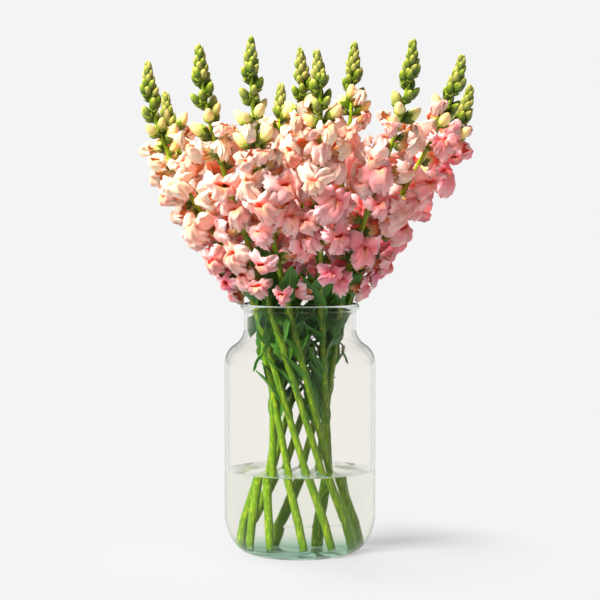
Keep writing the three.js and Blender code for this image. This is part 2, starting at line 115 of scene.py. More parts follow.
Stem = namedtuple("Stem", "tip neck_radius turn reach rise lean budded")
STEMS = [
    Stem((107, -92, 503), 45, 0, 84, 76, (0, 0), 72),
    Stem((158, -32, 492), 45.5, 0, 84, 74, (0.13, 0), 60),
    Stem((172, 54, 466), 45.5, 0, 80, 70, (0.06, 0), 44),
    Stem((56, 92, 511), 45, 0, 84, 76, (0, 0.05), 62),
    Stem((0, 40, 502), 38, -4, 80, 76, (-0.1, -0.1), 62),
    Stem((-20, 132, 470), 45.5, -6, 84, 70, (0.02, 0.05), 42),
    Stem((-138, 88, 459), 45.5, 0, 80, 70, (0, 0), 42),
    Stem((-150, -6, 487), 45.5, 0, 72, 104, (0.02, 0), 78),
    Stem((-96, -82, 500), 45, 0, 82, 74, (0, 0), 80),
    Stem((-46, -116, 504), 45.5, -7, 84, 78, (0.04, 0), 92),
    Stem((16, -100, 493), 45, 0, 84, 74, (-0.12, 0), 60),
]

FLORET_START = 20
FLORET_STEP = 13.8
FLORET_SIZE = 1.2
BUD_LENGTH = 82
BUD_COUNT = 7
CLUSTER_LENGTH = 34
GOLDEN_TURN = 137.5
OUTWARD_FLORET = 1
TOP_GAP = 8
TOP_FLORET_SIZE = 0.74
FLORET_GROWTH = 0.09
BUD_BODY_LENGTH = 17
BUD_BODY_RADIUS = 5.2
BUD_ROOM = 2
LEAF_LENGTH = 52
LEAF_WIDTH = 11
LEAF_DROOP = 0.22
BUNCH_RADIUS = 74  # at the rim of the jar, of the cone that the flowers stay in
BUNCH_SLOPE = 0.84


# %% A steady draw, and a stalk's line
def draw(*keys):
    """A number from 0 to 1 for a set of whole numbers, the same each time."""
    mixed = 20011
    for key in keys:
        mixed = ((mixed ^ (key + 1)) * 2654435761) & 0xFFFFFFFF
        mixed ^= mixed >> 15
    return mixed / 4294967296


def mix(a, b, share):
    return a + (b - a) * share


def unit(vector):
    return vector / np.linalg.norm(vector)


def round_axis(radius, turn, height):
    """A point at some turn round the jar's axis."""
    return np.array([radius * math.cos(turn), radius * math.sin(turn), height])


Line = namedtuple("Line", "points lengths neck_length length")


def stalk_line(number):
    """Straight from the cut end to the neck, then one smooth bend to the tip."""
    stem = STEMS[number]
    neck_turn = math.radians(NECK_AZIMUTH + 360 / len(STEMS) * number + stem.turn)
    neck = round_axis(stem.neck_radius, neck_turn, NECK_HEIGHT)
    cut = round_axis(CUT_END_RADIUS, neck_turn + math.radians(SPIRAL_TURN), CUT_END_HEIGHT)
    end = np.array(stem.tip, float)
    leaving = neck + unit(neck - cut) * stem.reach
    arriving = end - np.array([*stem.lean, 1.0]) * stem.rise
    share = np.linspace(0, 1, CURVE_STEPS + 1)[:, None]
    rest = 1 - share
    bend = (
        rest**3 * neck + 3 * rest**2 * share * leaving
        + 3 * rest * share**2 * arriving + share**3 * end
    )
    points = np.vstack([cut, bend])
    steps = np.linalg.norm(np.diff(points, axis=0), axis=1)
    lengths = np.concatenate([[0], np.cumsum(steps)])
    return Line(points, lengths, lengths[1], lengths[-1])


LINES = [stalk_line(number) for number in range(len(STEMS))]


def point_along(line, distance):
    i = int(np.clip(np.searchsorted(line.lengths, distance), 1, len(line.points) - 1))
    run = line.lengths[i] - line.lengths[i - 1]
    share = (distance - line.lengths[i - 1]) / run
    return line.points[i - 1] + (line.points[i] - line.points[i - 1]) * share


DIRECTION_REACH = 4


def direction_along(line, distance):
    ahead = point_along(line, distance + DIRECTION_REACH)
    return unit(ahead - point_along(line, distance - DIRECTION_REACH))


def stalk_radius(line, distance):
    if distance < line.neck_length:
        return mix(CUT_RADIUS, NECK_STALK_RADIUS, distance / line.neck_length)
    spike = line.length - BUD_LENGTH
    if distance < spike:
        share = (distance - line.neck_length) / (spike - line.neck_length)
        return mix(NECK_STALK_RADIUS, SPIKE_RADIUS, share)
    return mix(SPIKE_RADIUS, TIP_RADIUS, (distance - spike) / BUD_LENGTH)


# %% What grows out of a stalk: its place and its own three directions
Growth = namedtuple("Growth", "origin forward side top")


def growth(line, distance, azimuth, lift):
    """Out of the stalk, turned by azimuth round it and raised by lift, both in degrees."""
    along = direction_along(line, distance)
    azimuth, lift = math.radians(azimuth), math.radians(lift)
    level = np.array([math.cos(azimuth), math.sin(azimuth), 0.0])
    out = unit(level - along * level.dot(along))
    forward = out * math.cos(lift) + along * math.sin(lift)
    side = unit(np.cross([0.0, 0.0, 1.0], forward))
    return Growth(point_along(line, distance), forward, side, np.cross(forward, side))


def placed(at, rows):
    """Points given as rows of forward, side and top, put where the growth is."""
    rows = np.atleast_2d(rows)
    return at.origin + rows @ np.array([at.forward, at.side, at.top])


# %% Balls that keep pieces clear of each other
STALK, FLORET, LEAF, BUD = range(4)
FLORET_BALLS = np.array([  # forward, side, top and radius of each, in mm
    [10, 0, 0, 4.2], [17, 0, 0, 5.8], [24, 0, -1, 7.5],
    [21.5, 5.5, 8, 6], [21.5, -5.5, 8, 6], [20.5, 9.5, 12.5, 4.6], [20.5, -9.5, 12.5, 4.6],
    [25, 9, -4, 5.6], [25, -9, -4, 5.6], [24, 0, -10.5, 5.4],
])
LEAF_BALLS = 6
ROOT_BALLS = 2  # the first two of a floret or leaf lie at its own stalk
NEIGHBOURHOOD = 70  # nothing further away than this can touch


def as_balls(middles, radii):
    """Rows of place, radius and whether the ball is a root."""
    roots = np.arange(len(middles)) < ROOT_BALLS
    return np.column_stack([middles, radii, roots])


def floret_balls(at, size):
    middles = placed(at, FLORET_BALLS[:, :3] * size)
    return as_balls(middles, FLORET_BALLS[:, 3] * size + GAP)


def leaf_balls(at, size):
    run = (np.arange(LEAF_BALLS) + 0.9) / LEAF_BALLS
    length = LEAF_LENGTH * size
    middles = placed(at, np.column_stack([
        run * length, np.zeros(LEAF_BALLS), -LEAF_DROOP * run * run * length,
    ]))
    narrowing = np.minimum(1, 3.2 * (1.08 - run))
    return as_balls(middles, 0.5 * LEAF_WIDTH * size * narrowing + GAP)


def bud_balls(at, size, share=0.6, spare=0.0):
    """One ball, at a share of the bud's length."""
    middle = placed(at, [BUD_BODY_LENGTH * size * share, 0, 0])
    return as_balls(middle, [(BUD_BODY_RADIUS + spare) * size])


BALLS_OF = {FLORET: floret_balls, LEAF: leaf_balls, BUD: bud_balls}


def clear_of_jar(balls, kind, spare):
    """Whether balls miss the glass. Flowers may hang over the rim, inside a cone."""
    if kind == BUD:
        return True  # buds grow high above it
    hangs_over = kind == FLORET
    from_axis = np.hypot(balls[:, 0], balls[:, 1])
    height, radius = balls[:, 2], balls[:, 3]
    cone = BUNCH_RADIUS + BUNCH_SLOPE * (height - JAR_HEIGHT) + spare
    if hangs_over and (from_axis + radius > cone).any():
        return False
    above = height - radius > JAR_HEIGHT + GAP
    room = np.where(height + radius < SHOULDER_START, BODY_RADIUS, NECK_RADIUS)
    inside = from_axis + radius < room - WALL - GAP
    outside = hangs_over & (from_axis - radius > LIP_RADIUS + GAP)
    return bool((above | inside | outside).all())


class Room:
    """The balls placed so far: rows of place, radius, stem and kind."""

    def __init__(self):
        self.rows = np.zeros((0, 6))

    def take(self, balls, stem, kind):
        labels = np.full((len(balls), 2), (stem, kind))
        self.rows = np.vstack([self.rows, np.hstack([balls[:, :4], labels])])

    def is_free(self, balls, stem, kind, brush, nearness):
        """brush: how near florets of one spike may come. nearness: how near all may come."""
        away = np.abs(self.rows[:, :3] - balls[:, :3].mean(axis=0)).max(axis=1)
        rows = self.rows[away < NEIGHBOURHOOD]
        apart = np.linalg.norm(balls[:, None, :3] - rows[None, :, :3], axis=2)
        own = rows[:, 4] == stem
        petals = (rows[:, 5] == FLORET) & (kind == FLORET)
        share = np.where(own & petals, brush, np.where(petals | (nearness < 1), nearness, 1.0))
        reach = (balls[:, None, 3] + rows[None, :, 3]) * share
        at_root = (balls[:, 4:5] > 0) & (own & (rows[:, 5] == STALK))
        return bool(((apart >= reach) | at_root).all())


# %% How things find their place
Try = namedtuple("Try", "number distance azimuth size step lifts")
Grown = namedtuple("Grown", "at size distance step")


def grow_all(room, kind, tries, turns, brush, nearness=1.0, spare=0.0):
    """Each try grows the first way that fits, one after the other. Listed by stem."""
    grown = [[] for _ in LINES]
    for one in tries:
        for lift, turn in product(one.lifts, turns):
            at = growth(LINES[one.number], one.distance, one.azimuth + turn, lift)
            balls = BALLS_OF[kind](at, one.size)
            if clear_of_jar(balls, kind, spare) and room.is_free(
                    balls, one.number, kind, brush, nearness):
                room.take(balls, one.number, kind)
                grown[one.number].append(Grown(at, one.size, one.distance, one.step))
                break
    return grown


def flower_azimuth(number, up):
    """Which way a flower faces, in degrees: up counts the stalk's flowers past the top one."""
    x, y, _ = STEMS[number].tip
    return math.degrees(math.atan2(y, x)) + GOLDEN_TURN * (OUTWARD_FLORET + up)


OUTWARD = None  # in place of a turn: all face away from the bunch's middle
OUTWARD_SWING = 50


def floret_tries(lifts, further=0.0, turned_by=0, share=1.0, uneven=0.0):
    """Down every spike a step at a time, or a part of a step further, in a share of the size."""
    steps = math.ceil(max(line.length for line in LINES) / FLORET_STEP)
    for step, (number, line) in product(range(steps), enumerate(LINES)):
        top = line.length - STEMS[number].budded - TOP_GAP
        distance = top - FLORET_STEP * (step + further + 0.5 * draw(number, 2))
        if distance < line.neck_length + FLORET_START:
            continue
        if turned_by is OUTWARD:
            swing = OUTWARD_SWING * (draw(number, step, 44) - 0.5)
            azimuth = flower_azimuth(number, -OUTWARD_FLORET) + swing
        else:
            azimuth = flower_azimuth(number, -step) + turned_by
        size = FLORET_SIZE * share * min(1, TOP_FLORET_SIZE + FLORET_GROWTH * step)
        size *= mix(1 - uneven, 1 + uneven, draw(number, step, 3))
        yield Try(number, distance, azimuth, size, step, lifts)


INWARD_SWING = 40
HANGING_LEAF_LIFTS = [-30, -46, -14]
HANGING_LEAF_SIZE = 0.62


def leaf_tries(distances, scatter, sizes, lifts, key, inward=False, every_fifth_hangs=False):
    """Leaves of every stalk, at distances from its neck; key starts three draws."""
    for number, line in enumerate(LINES):
        for i, offset in enumerate(distances):
            distance = line.neck_length + offset + scatter * draw(number, i, key)
            size = mix(*sizes, draw(number, i, key + 1))
            azimuth = 360 * draw(number, i, key + 2)
            if inward:
                x, y, _ = point_along(line, distance)
                swing = INWARD_SWING * (draw(number, i, key + 2) - 0.5)
                azimuth = math.degrees(math.atan2(-y, -x)) + swing
            if every_fifth_hangs and i % 5 == 3:
                yield Try(number, distance, azimuth, size * HANGING_LEAF_SIZE, i,
                          HANGING_LEAF_LIFTS)
            else:
                yield Try(number, distance, azimuth, size, i, lifts)


BUD_LIFTS = (36, 60)  # of the lowest bud and of the highest
BUD_SIZES = (1, 0.8)


def below_tip(share):
    """How far below the tip a bud grows, at a share of the way from the lowest one up."""
    return mix(BUD_LENGTH, CLUSTER_LENGTH + 1, share)


def bud_places(number):
    """The closed buds that the solids have, one after the other up the spike."""
    line = LINES[number]
    buds = []
    for i in range(BUD_COUNT):
        share = i / (BUD_COUNT - 1)
        if below_tip(share) <= STEMS[number].budded:
            distance = line.length - below_tip(share)
            lift = mix(*BUD_LIFTS, share)
            at = growth(line, distance, flower_azimuth(number, i + 1), lift)
            buds.append(Grown(at, mix(*BUD_SIZES, share), distance, i))
    return buds


# %% The buds, florets and leaves of the whole bunch
BRUSH = 0.85
FLORET_TURNS = [0, 18, -18, 36, -36, 54, -54, 72, -72, 90, -90]
FLORET_LIFTS = [12, 30, -6, 46]
FLORET_UNEVEN = 0.06  # of a floret's size, up or down
LEAF_TURNS = [0, 30, -30, 60, -60, 90, -90, 120, -120, 150, -150, 180]
LEAF_LIFTS = [52, 66, 76]
LEAF_DISTANCES = [-58, -34, -8]
LEAF_SIZES = (0.75, 1.1)
STALK_BALL_STEP = 4

room = Room()
for number, line in enumerate(LINES):
    distances = np.arange(0, line.length, STALK_BALL_STEP)
    middles = np.array([point_along(line, distance) for distance in distances])
    radii = np.array([stalk_radius(line, distance) for distance in distances])
    room.take(as_balls(middles, radii + CORE_WALL + 2 * GAP), number, STALK)
BUDS = [bud_places(number) for number in range(len(LINES))]
for number, buds in enumerate(BUDS):
    for bud in buds:
        room.take(bud_balls(bud.at, bud.size, 0.5, BUD_ROOM), number, BUD)
FLORETS = grow_all(
    room, FLORET, floret_tries(FLORET_LIFTS, uneven=FLORET_UNEVEN), FLORET_TURNS, BRUSH)
LEAVES = grow_all(
    room, LEAF, leaf_tries(LEAF_DISTANCES, 6, LEAF_SIZES, LEAF_LIFTS, 5), LEAF_TURNS, BRUSH)
print("florets of each spike:", *map(len, FLORETS))
print("leaves of each stem:", *map(len, LEAVES))

# %% [markdown]
# ## More flowers, buds and leaves between the main ones
# The solids carry the main flowers. A real spike is fuller: smaller flowers push out of the
# gaps, ripe buds stand between its green tip and its open flowers, and more leaves stand or
# hang round the neck of the jar and upright inside the bundle. They are placed by the same
# rule as the others, part of a step further on, and may press a little closer, as petals
# do. One row of flowers faces away from the middle, so that the bunch is full from every
# side. By hand it would be slow to get each one clear of all the rest.

# %% Fill the gaps
FILL_PASSES = [  # steps further on, turned by degrees, share of a main flower's size
    (-0.2, OUTWARD, 0.84), (-0.5, 150, 0.94), (0.4, -60, 0.88),
]
FILL_BRUSH = 0.62
FILL_SPARE = 9  # mm outside the cone of the main flowers
FILL_TURNS = [0, 45, -45, 90, -90, 135]
FILL_LIFTS = [15, 40, -8]
FILL_LEAF_DISTANCES = [-58, -50, -44, -38, -32, -26, -20, -14, -8, -2, 4, 10, 18, 28, 40]
FILL_LEAF_SIZES = (0.6, 1.0)
FILL_LEAF_TURNS = [0, 60, -60, 120, -120, 180]
FILL_LEAF_LIFTS = [66, 80, 50]
FILL_LEAF_NEARNESS = 0.42
INNER_LEAF_DISTANCES = [-124, -104, -84, -66]  # on the inner side of a stalk
INNER_LEAF_SIZES = (0.9, 1.3)
INNER_LEAF_TURNS = [0, 30, -30, 60, -60]
INNER_LEAF_LIFTS = [80, 86, 74]
RIPE_BUD_DROPS = [-2, 5, 11]  # mm below the last bud of the plan
RIPE_BUD_SIZES = (1.12, 1.34)
RIPE_BUD_LIFTS = [34, 46]
RIPE_BUD_NEARNESS = 0.8


def ripe_bud_tries():
    for number, line in enumerate(LINES):
        for i, drop in enumerate(RIPE_BUD_DROPS):
            distance = line.length - STEMS[number].budded - drop
            size = mix(*RIPE_BUD_SIZES, draw(number, i, 43))
            azimuth = flower_azimuth(number, 0.5 - i)
            yield Try(number, distance, azimuth, size, i, RIPE_BUD_LIFTS)


fill_tries = (
    one for fill_pass in FILL_PASSES for one in floret_tries(FILL_LIFTS, *fill_pass))
RIPE_BUDS = grow_all(room, BUD, ripe_bud_tries(), FILL_TURNS, 1, RIPE_BUD_NEARNESS)
FILL_FLORETS = grow_all(
    room, FLORET, fill_tries, FILL_TURNS, FILL_BRUSH, FILL_BRUSH, FILL_SPARE)
FILL_LEAVES = grow_all(
    room, LEAF,
    leaf_tries(FILL_LEAF_DISTANCES, 8, FILL_LEAF_SIZES, FILL_LEAF_LIFTS, 8,
               every_fifth_hangs=True),
    FILL_LEAF_TURNS, FILL_LEAF_NEARNESS, FILL_LEAF_NEARNESS)
INNER_LEAVES = grow_all(
    room, LEAF,
    leaf_tries(INNER_LEAF_DISTANCES, 10, INNER_LEAF_SIZES, INNER_LEAF_LIFTS, 40, inward=True),
    INNER_LEAF_TURNS, FILL_LEAF_NEARNESS, FILL_LEAF_NEARNESS)
print("ripe buds:", *map(len, RIPE_BUDS))
print("flowers in the gaps:", *map(len, FILL_FLORETS))
print("leaves in the gaps:", *map(len, FILL_LEAVES))
print("leaves inside the bundle:", *map(len, INNER_LEAVES))

# %% [markdown]
# ## Tools for modelling
# Most of a plant is thin sheets: petals, leaves, sepals. Each one starts as a flat grid, as
# a maker of paper flowers starts with a cut sheet, and a rule bends it: u runs across the
# sheet and v from its root to its edge. A sheet that is rolled into a tube is welded where
# its two sides meet. The grid's UV map stays with it, so that a colour or a vein can follow
# the petal later. Sculpting would be the other way, but a rule can be written again with
# other numbers, which gives flowers that differ.

# %% Tools for sheets and tubes
def only(*pieces):
    """Select these pieces and nothing else. The first one is active."""
    bpy.ops.object.select_all(action="DESELECT")
    for piece in pieces:
        piece.select_set(True)
    bpy.context.view_layer.objects.active = pieces[0]


def with_modifier(piece, kind, **settings):
    """Add a modifier, set it and apply it."""
    only(piece)
    modifier = piece.modifiers.new(kind.title(), kind)
    for name, value in settings.items():
        setattr(modifier, name, value)
    bpy.ops.object.modifier_apply(modifier=modifier.name)
    return piece


def weld(piece, distance=0.01):
    """Close seams and poles, and turn the faces outwards."""
    only(piece)
    bpy.ops.object.mode_set(mode="EDIT")
    bpy.ops.mesh.select_all(action="SELECT")
    bpy.ops.mesh.remove_doubles(threshold=distance)
    bpy.ops.mesh.normals_make_consistent(inside=False)
    bpy.ops.object.mode_set(mode="OBJECT")
    return piece


def smooth(piece, degrees=180):
    only(piece)
    bpy.ops.object.shade_smooth_by_angle(angle=math.radians(degrees))
    return piece


def bent_grid(name, across, along, shape):
    """A flat grid bent by a rule: shape(u, v) gives each corner its place, in mm."""
    sheet = fresh(bpy.ops.mesh.primitive_grid_add,
                  x_subdivisions=across, y_subdivisions=along, size=1)
    sheet.name = name
    flat = np.array([corner.co for corner in sheet.data.vertices])
    places = shape(flat[:, 0] + 0.5, flat[:, 1] + 0.5)
    sheet.data.vertices.foreach_set("co", places.astype(np.float32).ravel())
    return sheet


def rolled(name, across, along, shape):
    """A bent grid whose two sides meet, welded to a tube with smooth faces."""
    return smooth(weld(bent_grid(name, across, along, shape)))


def thickened(sheet, thickness, degrees=180):
    """A sheet with a wall. Edges sharper than the given angle stay sharp."""
    with_modifier(sheet, "SOLIDIFY", thickness=thickness, offset=0)
    return smooth(sheet, degrees)


# %% [markdown]
# What repeats is modelled once, as a master at the origin with x away from the stalk and z
# up, in millimetres. A copy gets its own mesh, which is then turned, scaled and moved to
# where it grows. Linked copies would save memory, but a mesh of its own lets each one
# crumple in its own way and carry its own marks, such as how pink it is.

# %% Copies that grow out of a stalk
def own_copy(model):
    """A copy with a mesh of its own, in no collection yet."""
    piece = model.copy()
    piece.data = model.data.copy()
    return piece


def grow(model, at, size, **marks):
    """A copy of a master where a growth is; each mark becomes an attribute of its mesh."""
    piece = own_copy(model)
    SCENE.collection.objects.link(piece)
    turn = np.eye(4)
    turn[:3, :3] = np.column_stack([at.forward, at.side, at.top]) * size * MM
    turn[:3, 3] = at.origin * MM
    piece.data.transform(Matrix(turn.tolist()))
    for name, value in marks.items():
        attribute = piece.data.attributes.new(name, "FLOAT", "POINT")
        values = np.full(len(piece.data.vertices), value, np.float32)
        attribute.data.foreach_set("value", values)
    return piece


def joined(name, pieces):
    """Several pieces as one, under one name."""
    only(*pieces)
    bpy.ops.object.join()
    whole = bpy.context.object
    whole.name = whole.data.name = name
    return whole


MASTERS = []


def master(piece):
    """Keep a piece as a model for copies; it is put away at the end."""
    MASTERS.append(piece)
    return piece


def dress(piece, material, slot, *nodes):
    """Give a piece its material, hang it under the root, and hide the solids that it stands in
    for.
    """
    piece.data.materials.clear()
    piece.data.materials.append(material)
    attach(piece, "root")
    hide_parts(*nodes)
    print(piece.name, "has", len(piece.data.polygons), "faces")


# %% [markdown]
# ## Tools for materials
# A material is a small network of nodes. Adding them one at a time takes three lines each,
# so one helper adds a node, sets it and wires what goes in. Colours are written as a paint
# chart gives them, from 0 to 255, and are turned into the linear values that light uses.

# %% Tools for nodes
def paint(red, green, blue):
    """A chart's colour, 0 to 255 a channel, as linear light."""
    shares = [channel / 255 for channel in (red, green, blue)]
    linear = [s / 12.92 if s < 0.04045 else ((s + 0.055) / 1.055) ** 2.4 for s in shares]
    return (*linear, 1.0)


def add(tree, kind, inputs=None, **settings):
    """A node in a tree. An input is another node's socket or a plain value."""
    made = tree.nodes.new("ShaderNode" + kind)
    for name, value in settings.items():
        setattr(made, name, value)
    for name, value in (inputs or {}).items():
        if isinstance(value, bpy.types.NodeSocket):
            tree.links.new(value, made.inputs[name])
        else:
            made.inputs[name].default_value = value
    return made


def sum_of(tree, kind, first, second=0.0, third=0.0, clamp=False):
    """One step of arithmetic."""
    inputs = {0: first, 1: second, 2: third}
    return add(tree, "Math", inputs, operation=kind, use_clamp=clamp).outputs[0]


def blended(tree, share, first, second, way="MIX"):
    """Two colours mixed by a share."""
    inputs = {0: share, 6: first, 7: second}
    return add(tree, "Mix", inputs, data_type="RGBA", blend_type=way).outputs[2]


def stepped(tree, value, stops):
    """A colour ramp with stops of (place, colour)."""
    made = add(tree, "ValToRGB", {0: value})
    ramp = made.color_ramp
    while len(ramp.elements) < len(stops):
        ramp.elements.new(1.0)
    for element, (place, colour) in zip(ramp.elements, stops):
        element.position = place
        element.color = colour
    return made.outputs[0]


def ranged(tree, value, start, end, low=0.0, high=1.0, way="SMOOTHSTEP"):
    """low up to the start of a range, high past its end, and a slope between them."""
    inputs = {"Value": value, "From Min": start, "From Max": end, "To Min": low, "To Max": high}
    return add(tree, "MapRange", inputs, interpolation_type=way).outputs[0]


def window(tree, value, middle, width):
    """1 at the middle of a range, falling softly to 0 at its ends."""
    away = sum_of(tree, "ABSOLUTE", sum_of(tree, "SUBTRACT", value, middle))
    return ranged(tree, away, 0.0, width, 1.0, 0.0)


def noise_of(tree, place, scale, detail, roughness=0.5):
    inputs = {"Vector": place, "Scale": scale, "Detail": detail, "Roughness": roughness}
    return add(tree, "TexNoise", inputs).outputs[0]


def stretched(tree, place, along_axis):
    """A place whose height counts more or less than its sides."""
    return add(tree, "Mapping", {"Vector": place, "Scale": (1.0, 1.0, along_axis)}).outputs[0]


def own_place(tree):
    return add(tree, "TexCoord").outputs["Object"]


def own_height(tree):
    return add(tree, "SeparateXYZ", {0: own_place(tree)}).outputs[2]


def across_and_along(tree):
    """u and v of the piece's own UV map."""
    place = add(tree, "UVMap", uv_map="UVMap").outputs[0]
    return add(tree, "SeparateXYZ", {0: place}).outputs[:2]


def mark(tree, name):
    """The value of a piece's attribute."""
    return add(tree, "Attribute", attribute_name=name).outputs["Fac"]


def new_material(name):
    """A material with only its Principled shader, and that shader."""
    material = bpy.data.materials.new(name)
    material.use_nodes = True
    return material, material.node_tree, material.node_tree.nodes["Principled BSDF"]


# %% [markdown]
# ## Living tissue
# No petal or leaf has one even colour. Its cells differ in patches of a few millimetres and
# in a finer grain, and the same mottling makes its surface slightly uneven. Every plant
# material here needs it, so it is one node group with a size and a depth, which gives out a
# colour and a height. Veins are a second group: thin lines that run from root to edge, a
# little wavy, as many across as each piece asks for.

# %% Node group: mottling
GRAIN_FINENESS = 7.0  # how much finer the grain is than the patches
GRAIN_SHARE = 0.35
LIGHTER, DARKER = (0.82, 0.82, 0.82, 1), (0.6, 0.55, 0.6, 1)  # divided by, multiplied by


def new_group(name, inputs, outputs):
    """An empty node group with named sockets, and its two end nodes."""
    group = bpy.data.node_groups.new(name, "ShaderNodeTree")
    for socket, kind in inputs:
        group.interface.new_socket(socket, in_out="INPUT", socket_type="NodeSocket" + kind)
    for socket, kind in outputs:
        group.interface.new_socket(socket, in_out="OUTPUT", socket_type="NodeSocket" + kind)
    source = group.nodes.new("NodeGroupInput")
    result = group.nodes.new("NodeGroupOutput")
    return group, source.outputs, result.inputs


MOTTLING, given, out = new_group(
    "mottling",
    [("Color", "Color"), ("Patch Size", "Float"), ("Depth", "Float")],
    [("Color", "Color"), ("Height", "Float")],
)
place = own_place(MOTTLING)
frequency = sum_of(MOTTLING, "DIVIDE", 1.0, given["Patch Size"])
patches = noise_of(MOTTLING, place, frequency, 3.0, 0.55)
grain = noise_of(MOTTLING, place, sum_of(MOTTLING, "MULTIPLY", frequency, GRAIN_FINENESS), 2.0)
mask = sum_of(MOTTLING, "MULTIPLY_ADD", grain, GRAIN_SHARE,
              sum_of(MOTTLING, "MULTIPLY", patches, 1 - GRAIN_SHARE))
lighter = blended(MOTTLING, 1.0, given["Color"], LIGHTER, "DIVIDE")
darker = blended(MOTTLING, 1.0, given["Color"], DARKER, "MULTIPLY")
spread = ranged(MOTTLING, mask, 0.3, 0.7, way="LINEAR")
uneven = blended(MOTTLING, spread, darker, lighter)
MOTTLING.links.new(blended(MOTTLING, given["Depth"], given["Color"], uneven), out["Color"])
MOTTLING.links.new(mask, out["Height"])

# %% Node group: veins
WAVER = 0.9  # how far a vein wanders, of the distance to the next one
WAVER_SCALE = 160.0
VEIN_WIDTH = 0.45

VEINS, given, out = new_group(
    "veins",
    [("Color", "Color"), ("Vein Color", "Color"), ("Across", "Float"), ("Count", "Float"),
     ("Depth", "Float")],
    [("Color", "Color"), ("Height", "Float")],
)
waver = noise_of(VEINS, own_place(VEINS), WAVER_SCALE, 2.0)
turns = sum_of(VEINS, "MULTIPLY", given["Across"], given["Count"])
turns = sum_of(VEINS, "ADD", turns, sum_of(VEINS, "MULTIPLY", waver, WAVER))
wave = sum_of(VEINS, "SINE", sum_of(VEINS, "MULTIPLY", turns, math.pi))
line = ranged(VEINS, sum_of(VEINS, "ABSOLUTE", wave), 0.0, VEIN_WIDTH, 1.0, 0.0)
fading = sum_of(VEINS, "MULTIPLY", line, sum_of(VEINS, "MULTIPLY", given["Depth"], waver))
VEINS.links.new(blended(VEINS, fading, given["Color"], given["Vein Color"]), out["Color"])
VEINS.links.new(line, out["Height"])
print("node groups:", [group.name for group in bpy.data.node_groups])


# %% Use the groups in a material
def veined(tree, colour, across, vein_colour, count, depth):
    inputs = {
        "Color": colour, "Vein Color": vein_colour, "Across": across, "Count": count,
        "Depth": depth,
    }
    return add(tree, "Group", inputs, node_tree=VEINS).outputs


def tissue(tree, shader, colour, relief, relief_share, mottling, roughness, bump, flesh):
    """Mottle a colour, and wire what all tissue has: colour, shine, bump and soft light.

    mottling: the size of its patches in metres and its depth. roughness: its lowest and
    highest. bump: its depth in metres. flesh: how much light enters, how far each colour
    goes and the scale of that in metres.
    """
    patch_size, depth = mottling
    inputs = {"Color": colour, "Patch Size": patch_size, "Depth": depth}
    mottled = add(tree, "Group", inputs, node_tree=MOTTLING).outputs
    height = sum_of(tree, "MULTIPLY_ADD", relief, relief_share, mottled["Height"])
    shine = ranged(tree, height, 0.0, 1.0, *roughness, way="LINEAR")
    bumps = add(tree, "Bump", {"Height": height, "Distance": bump, "Strength": 0.6})
    tree.links.new(mottled["Color"], shader.inputs["Base Color"])
    tree.links.new(shine, shader.inputs["Roughness"])
    tree.links.new(bumps.outputs[0], shader.inputs["Normal"])
    weight, radius, scale = flesh
    shader.inputs["Subsurface Weight"].default_value = weight
    shader.inputs["Subsurface Radius"].default_value = radius
    shader.inputs["Subsurface Scale"].default_value = scale


# %% [markdown]
# ## Petals
# A snapdragon's petal is coral inside its tube, pink on its lips and nearly white at its
# ruffled edge, with a yellow blush on the swelling that closes its mouth. Young flowers at
# the top are cream and peach, older ones below are pink, so each flower carries a mark for
# its blush that mixes two ramps. The same mark also holds painted light: flowers are paler
# on the bunch's left, where the key light falls, and pinker in the shade on its right.
# Petals are thin and let light through: that is subsurface scattering, which also keeps the
# shadows between them warm instead of grey.

# %% Material: petals
PEACH_RAMP = [
    (0.0, paint(206, 214, 130)), (0.13, paint(250, 220, 140)), (0.34, paint(255, 172, 98)),
    (0.54, paint(255, 154, 106)), (0.7, paint(255, 196, 158)), (0.88, paint(255, 214, 178)),
    (1.0, paint(255, 230, 200)),
]
PINK_RAMP = [
    (0.0, paint(206, 204, 120)), (0.13, paint(246, 172, 120)), (0.34, paint(246, 70, 60)),
    (0.54, paint(250, 60, 74)), (0.7, paint(255, 102, 126)), (0.88, paint(255, 132, 152)),
    (1.0, paint(255, 182, 190)),
]
PALATE_COLOUR = paint(252, 196, 110)
PALATE_STRENGTH = 0.3
PETAL_VEIN_COLOUR = paint(232, 104, 108)
BLOTCH_SCALE = 60.0
BLOTCH_DEPTH = 0.5  # of the blush, from a blotch's palest place to its pinkest

PETALS, tree, shader = new_material("ruffled petals")
across, along = across_and_along(tree)
blotches = noise_of(tree, own_place(tree), BLOTCH_SCALE, 2.0)
blotches = sum_of(tree, "MULTIPLY_ADD", blotches, BLOTCH_DEPTH, -BLOTCH_DEPTH / 2)
# The blush mark is partly painted light: paler on the bunch's left, pinker in the shade on its
# right.
blush = sum_of(tree, "ADD", mark(tree, "blush"), blotches, clamp=True)
young, old = stepped(tree, along, PEACH_RAMP), stepped(tree, along, PINK_RAMP)
colour = blended(tree, blush, young, old)
middle_of_lip = window(tree, across, 0.5, 0.13)
palate = sum_of(tree, "MULTIPLY", middle_of_lip, window(tree, along, 0.64, 0.14))
colour = blended(tree, sum_of(tree, "MULTIPLY", palate, PALATE_STRENGTH), colour, PALATE_COLOUR)
veins = veined(tree, colour, across, PETAL_VEIN_COLOUR, 44.0, 0.34)
tissue(tree, shader, veins["Color"], veins["Height"], 0.3, mottling=(0.006, 0.16),
       roughness=(0.5, 0.72), bump=0.0006, flesh=(0.55, (1.0, 0.42, 0.34), 0.004))
shader.inputs["Specular IOR Level"].default_value = 0.2

# %% [markdown]
# ## Green parts
# A fresh stalk is yellow-green where it is young and dark and slightly glossy lower down,
# with faint streaks along it. Leaves are darker, with a pale midrib. Buds are green at the
# tip of the spike, and the larger and lower they are the more cream and peach they show, so
# each carries a mark for its ripeness. All three are mottled, and leaves and buds veined.

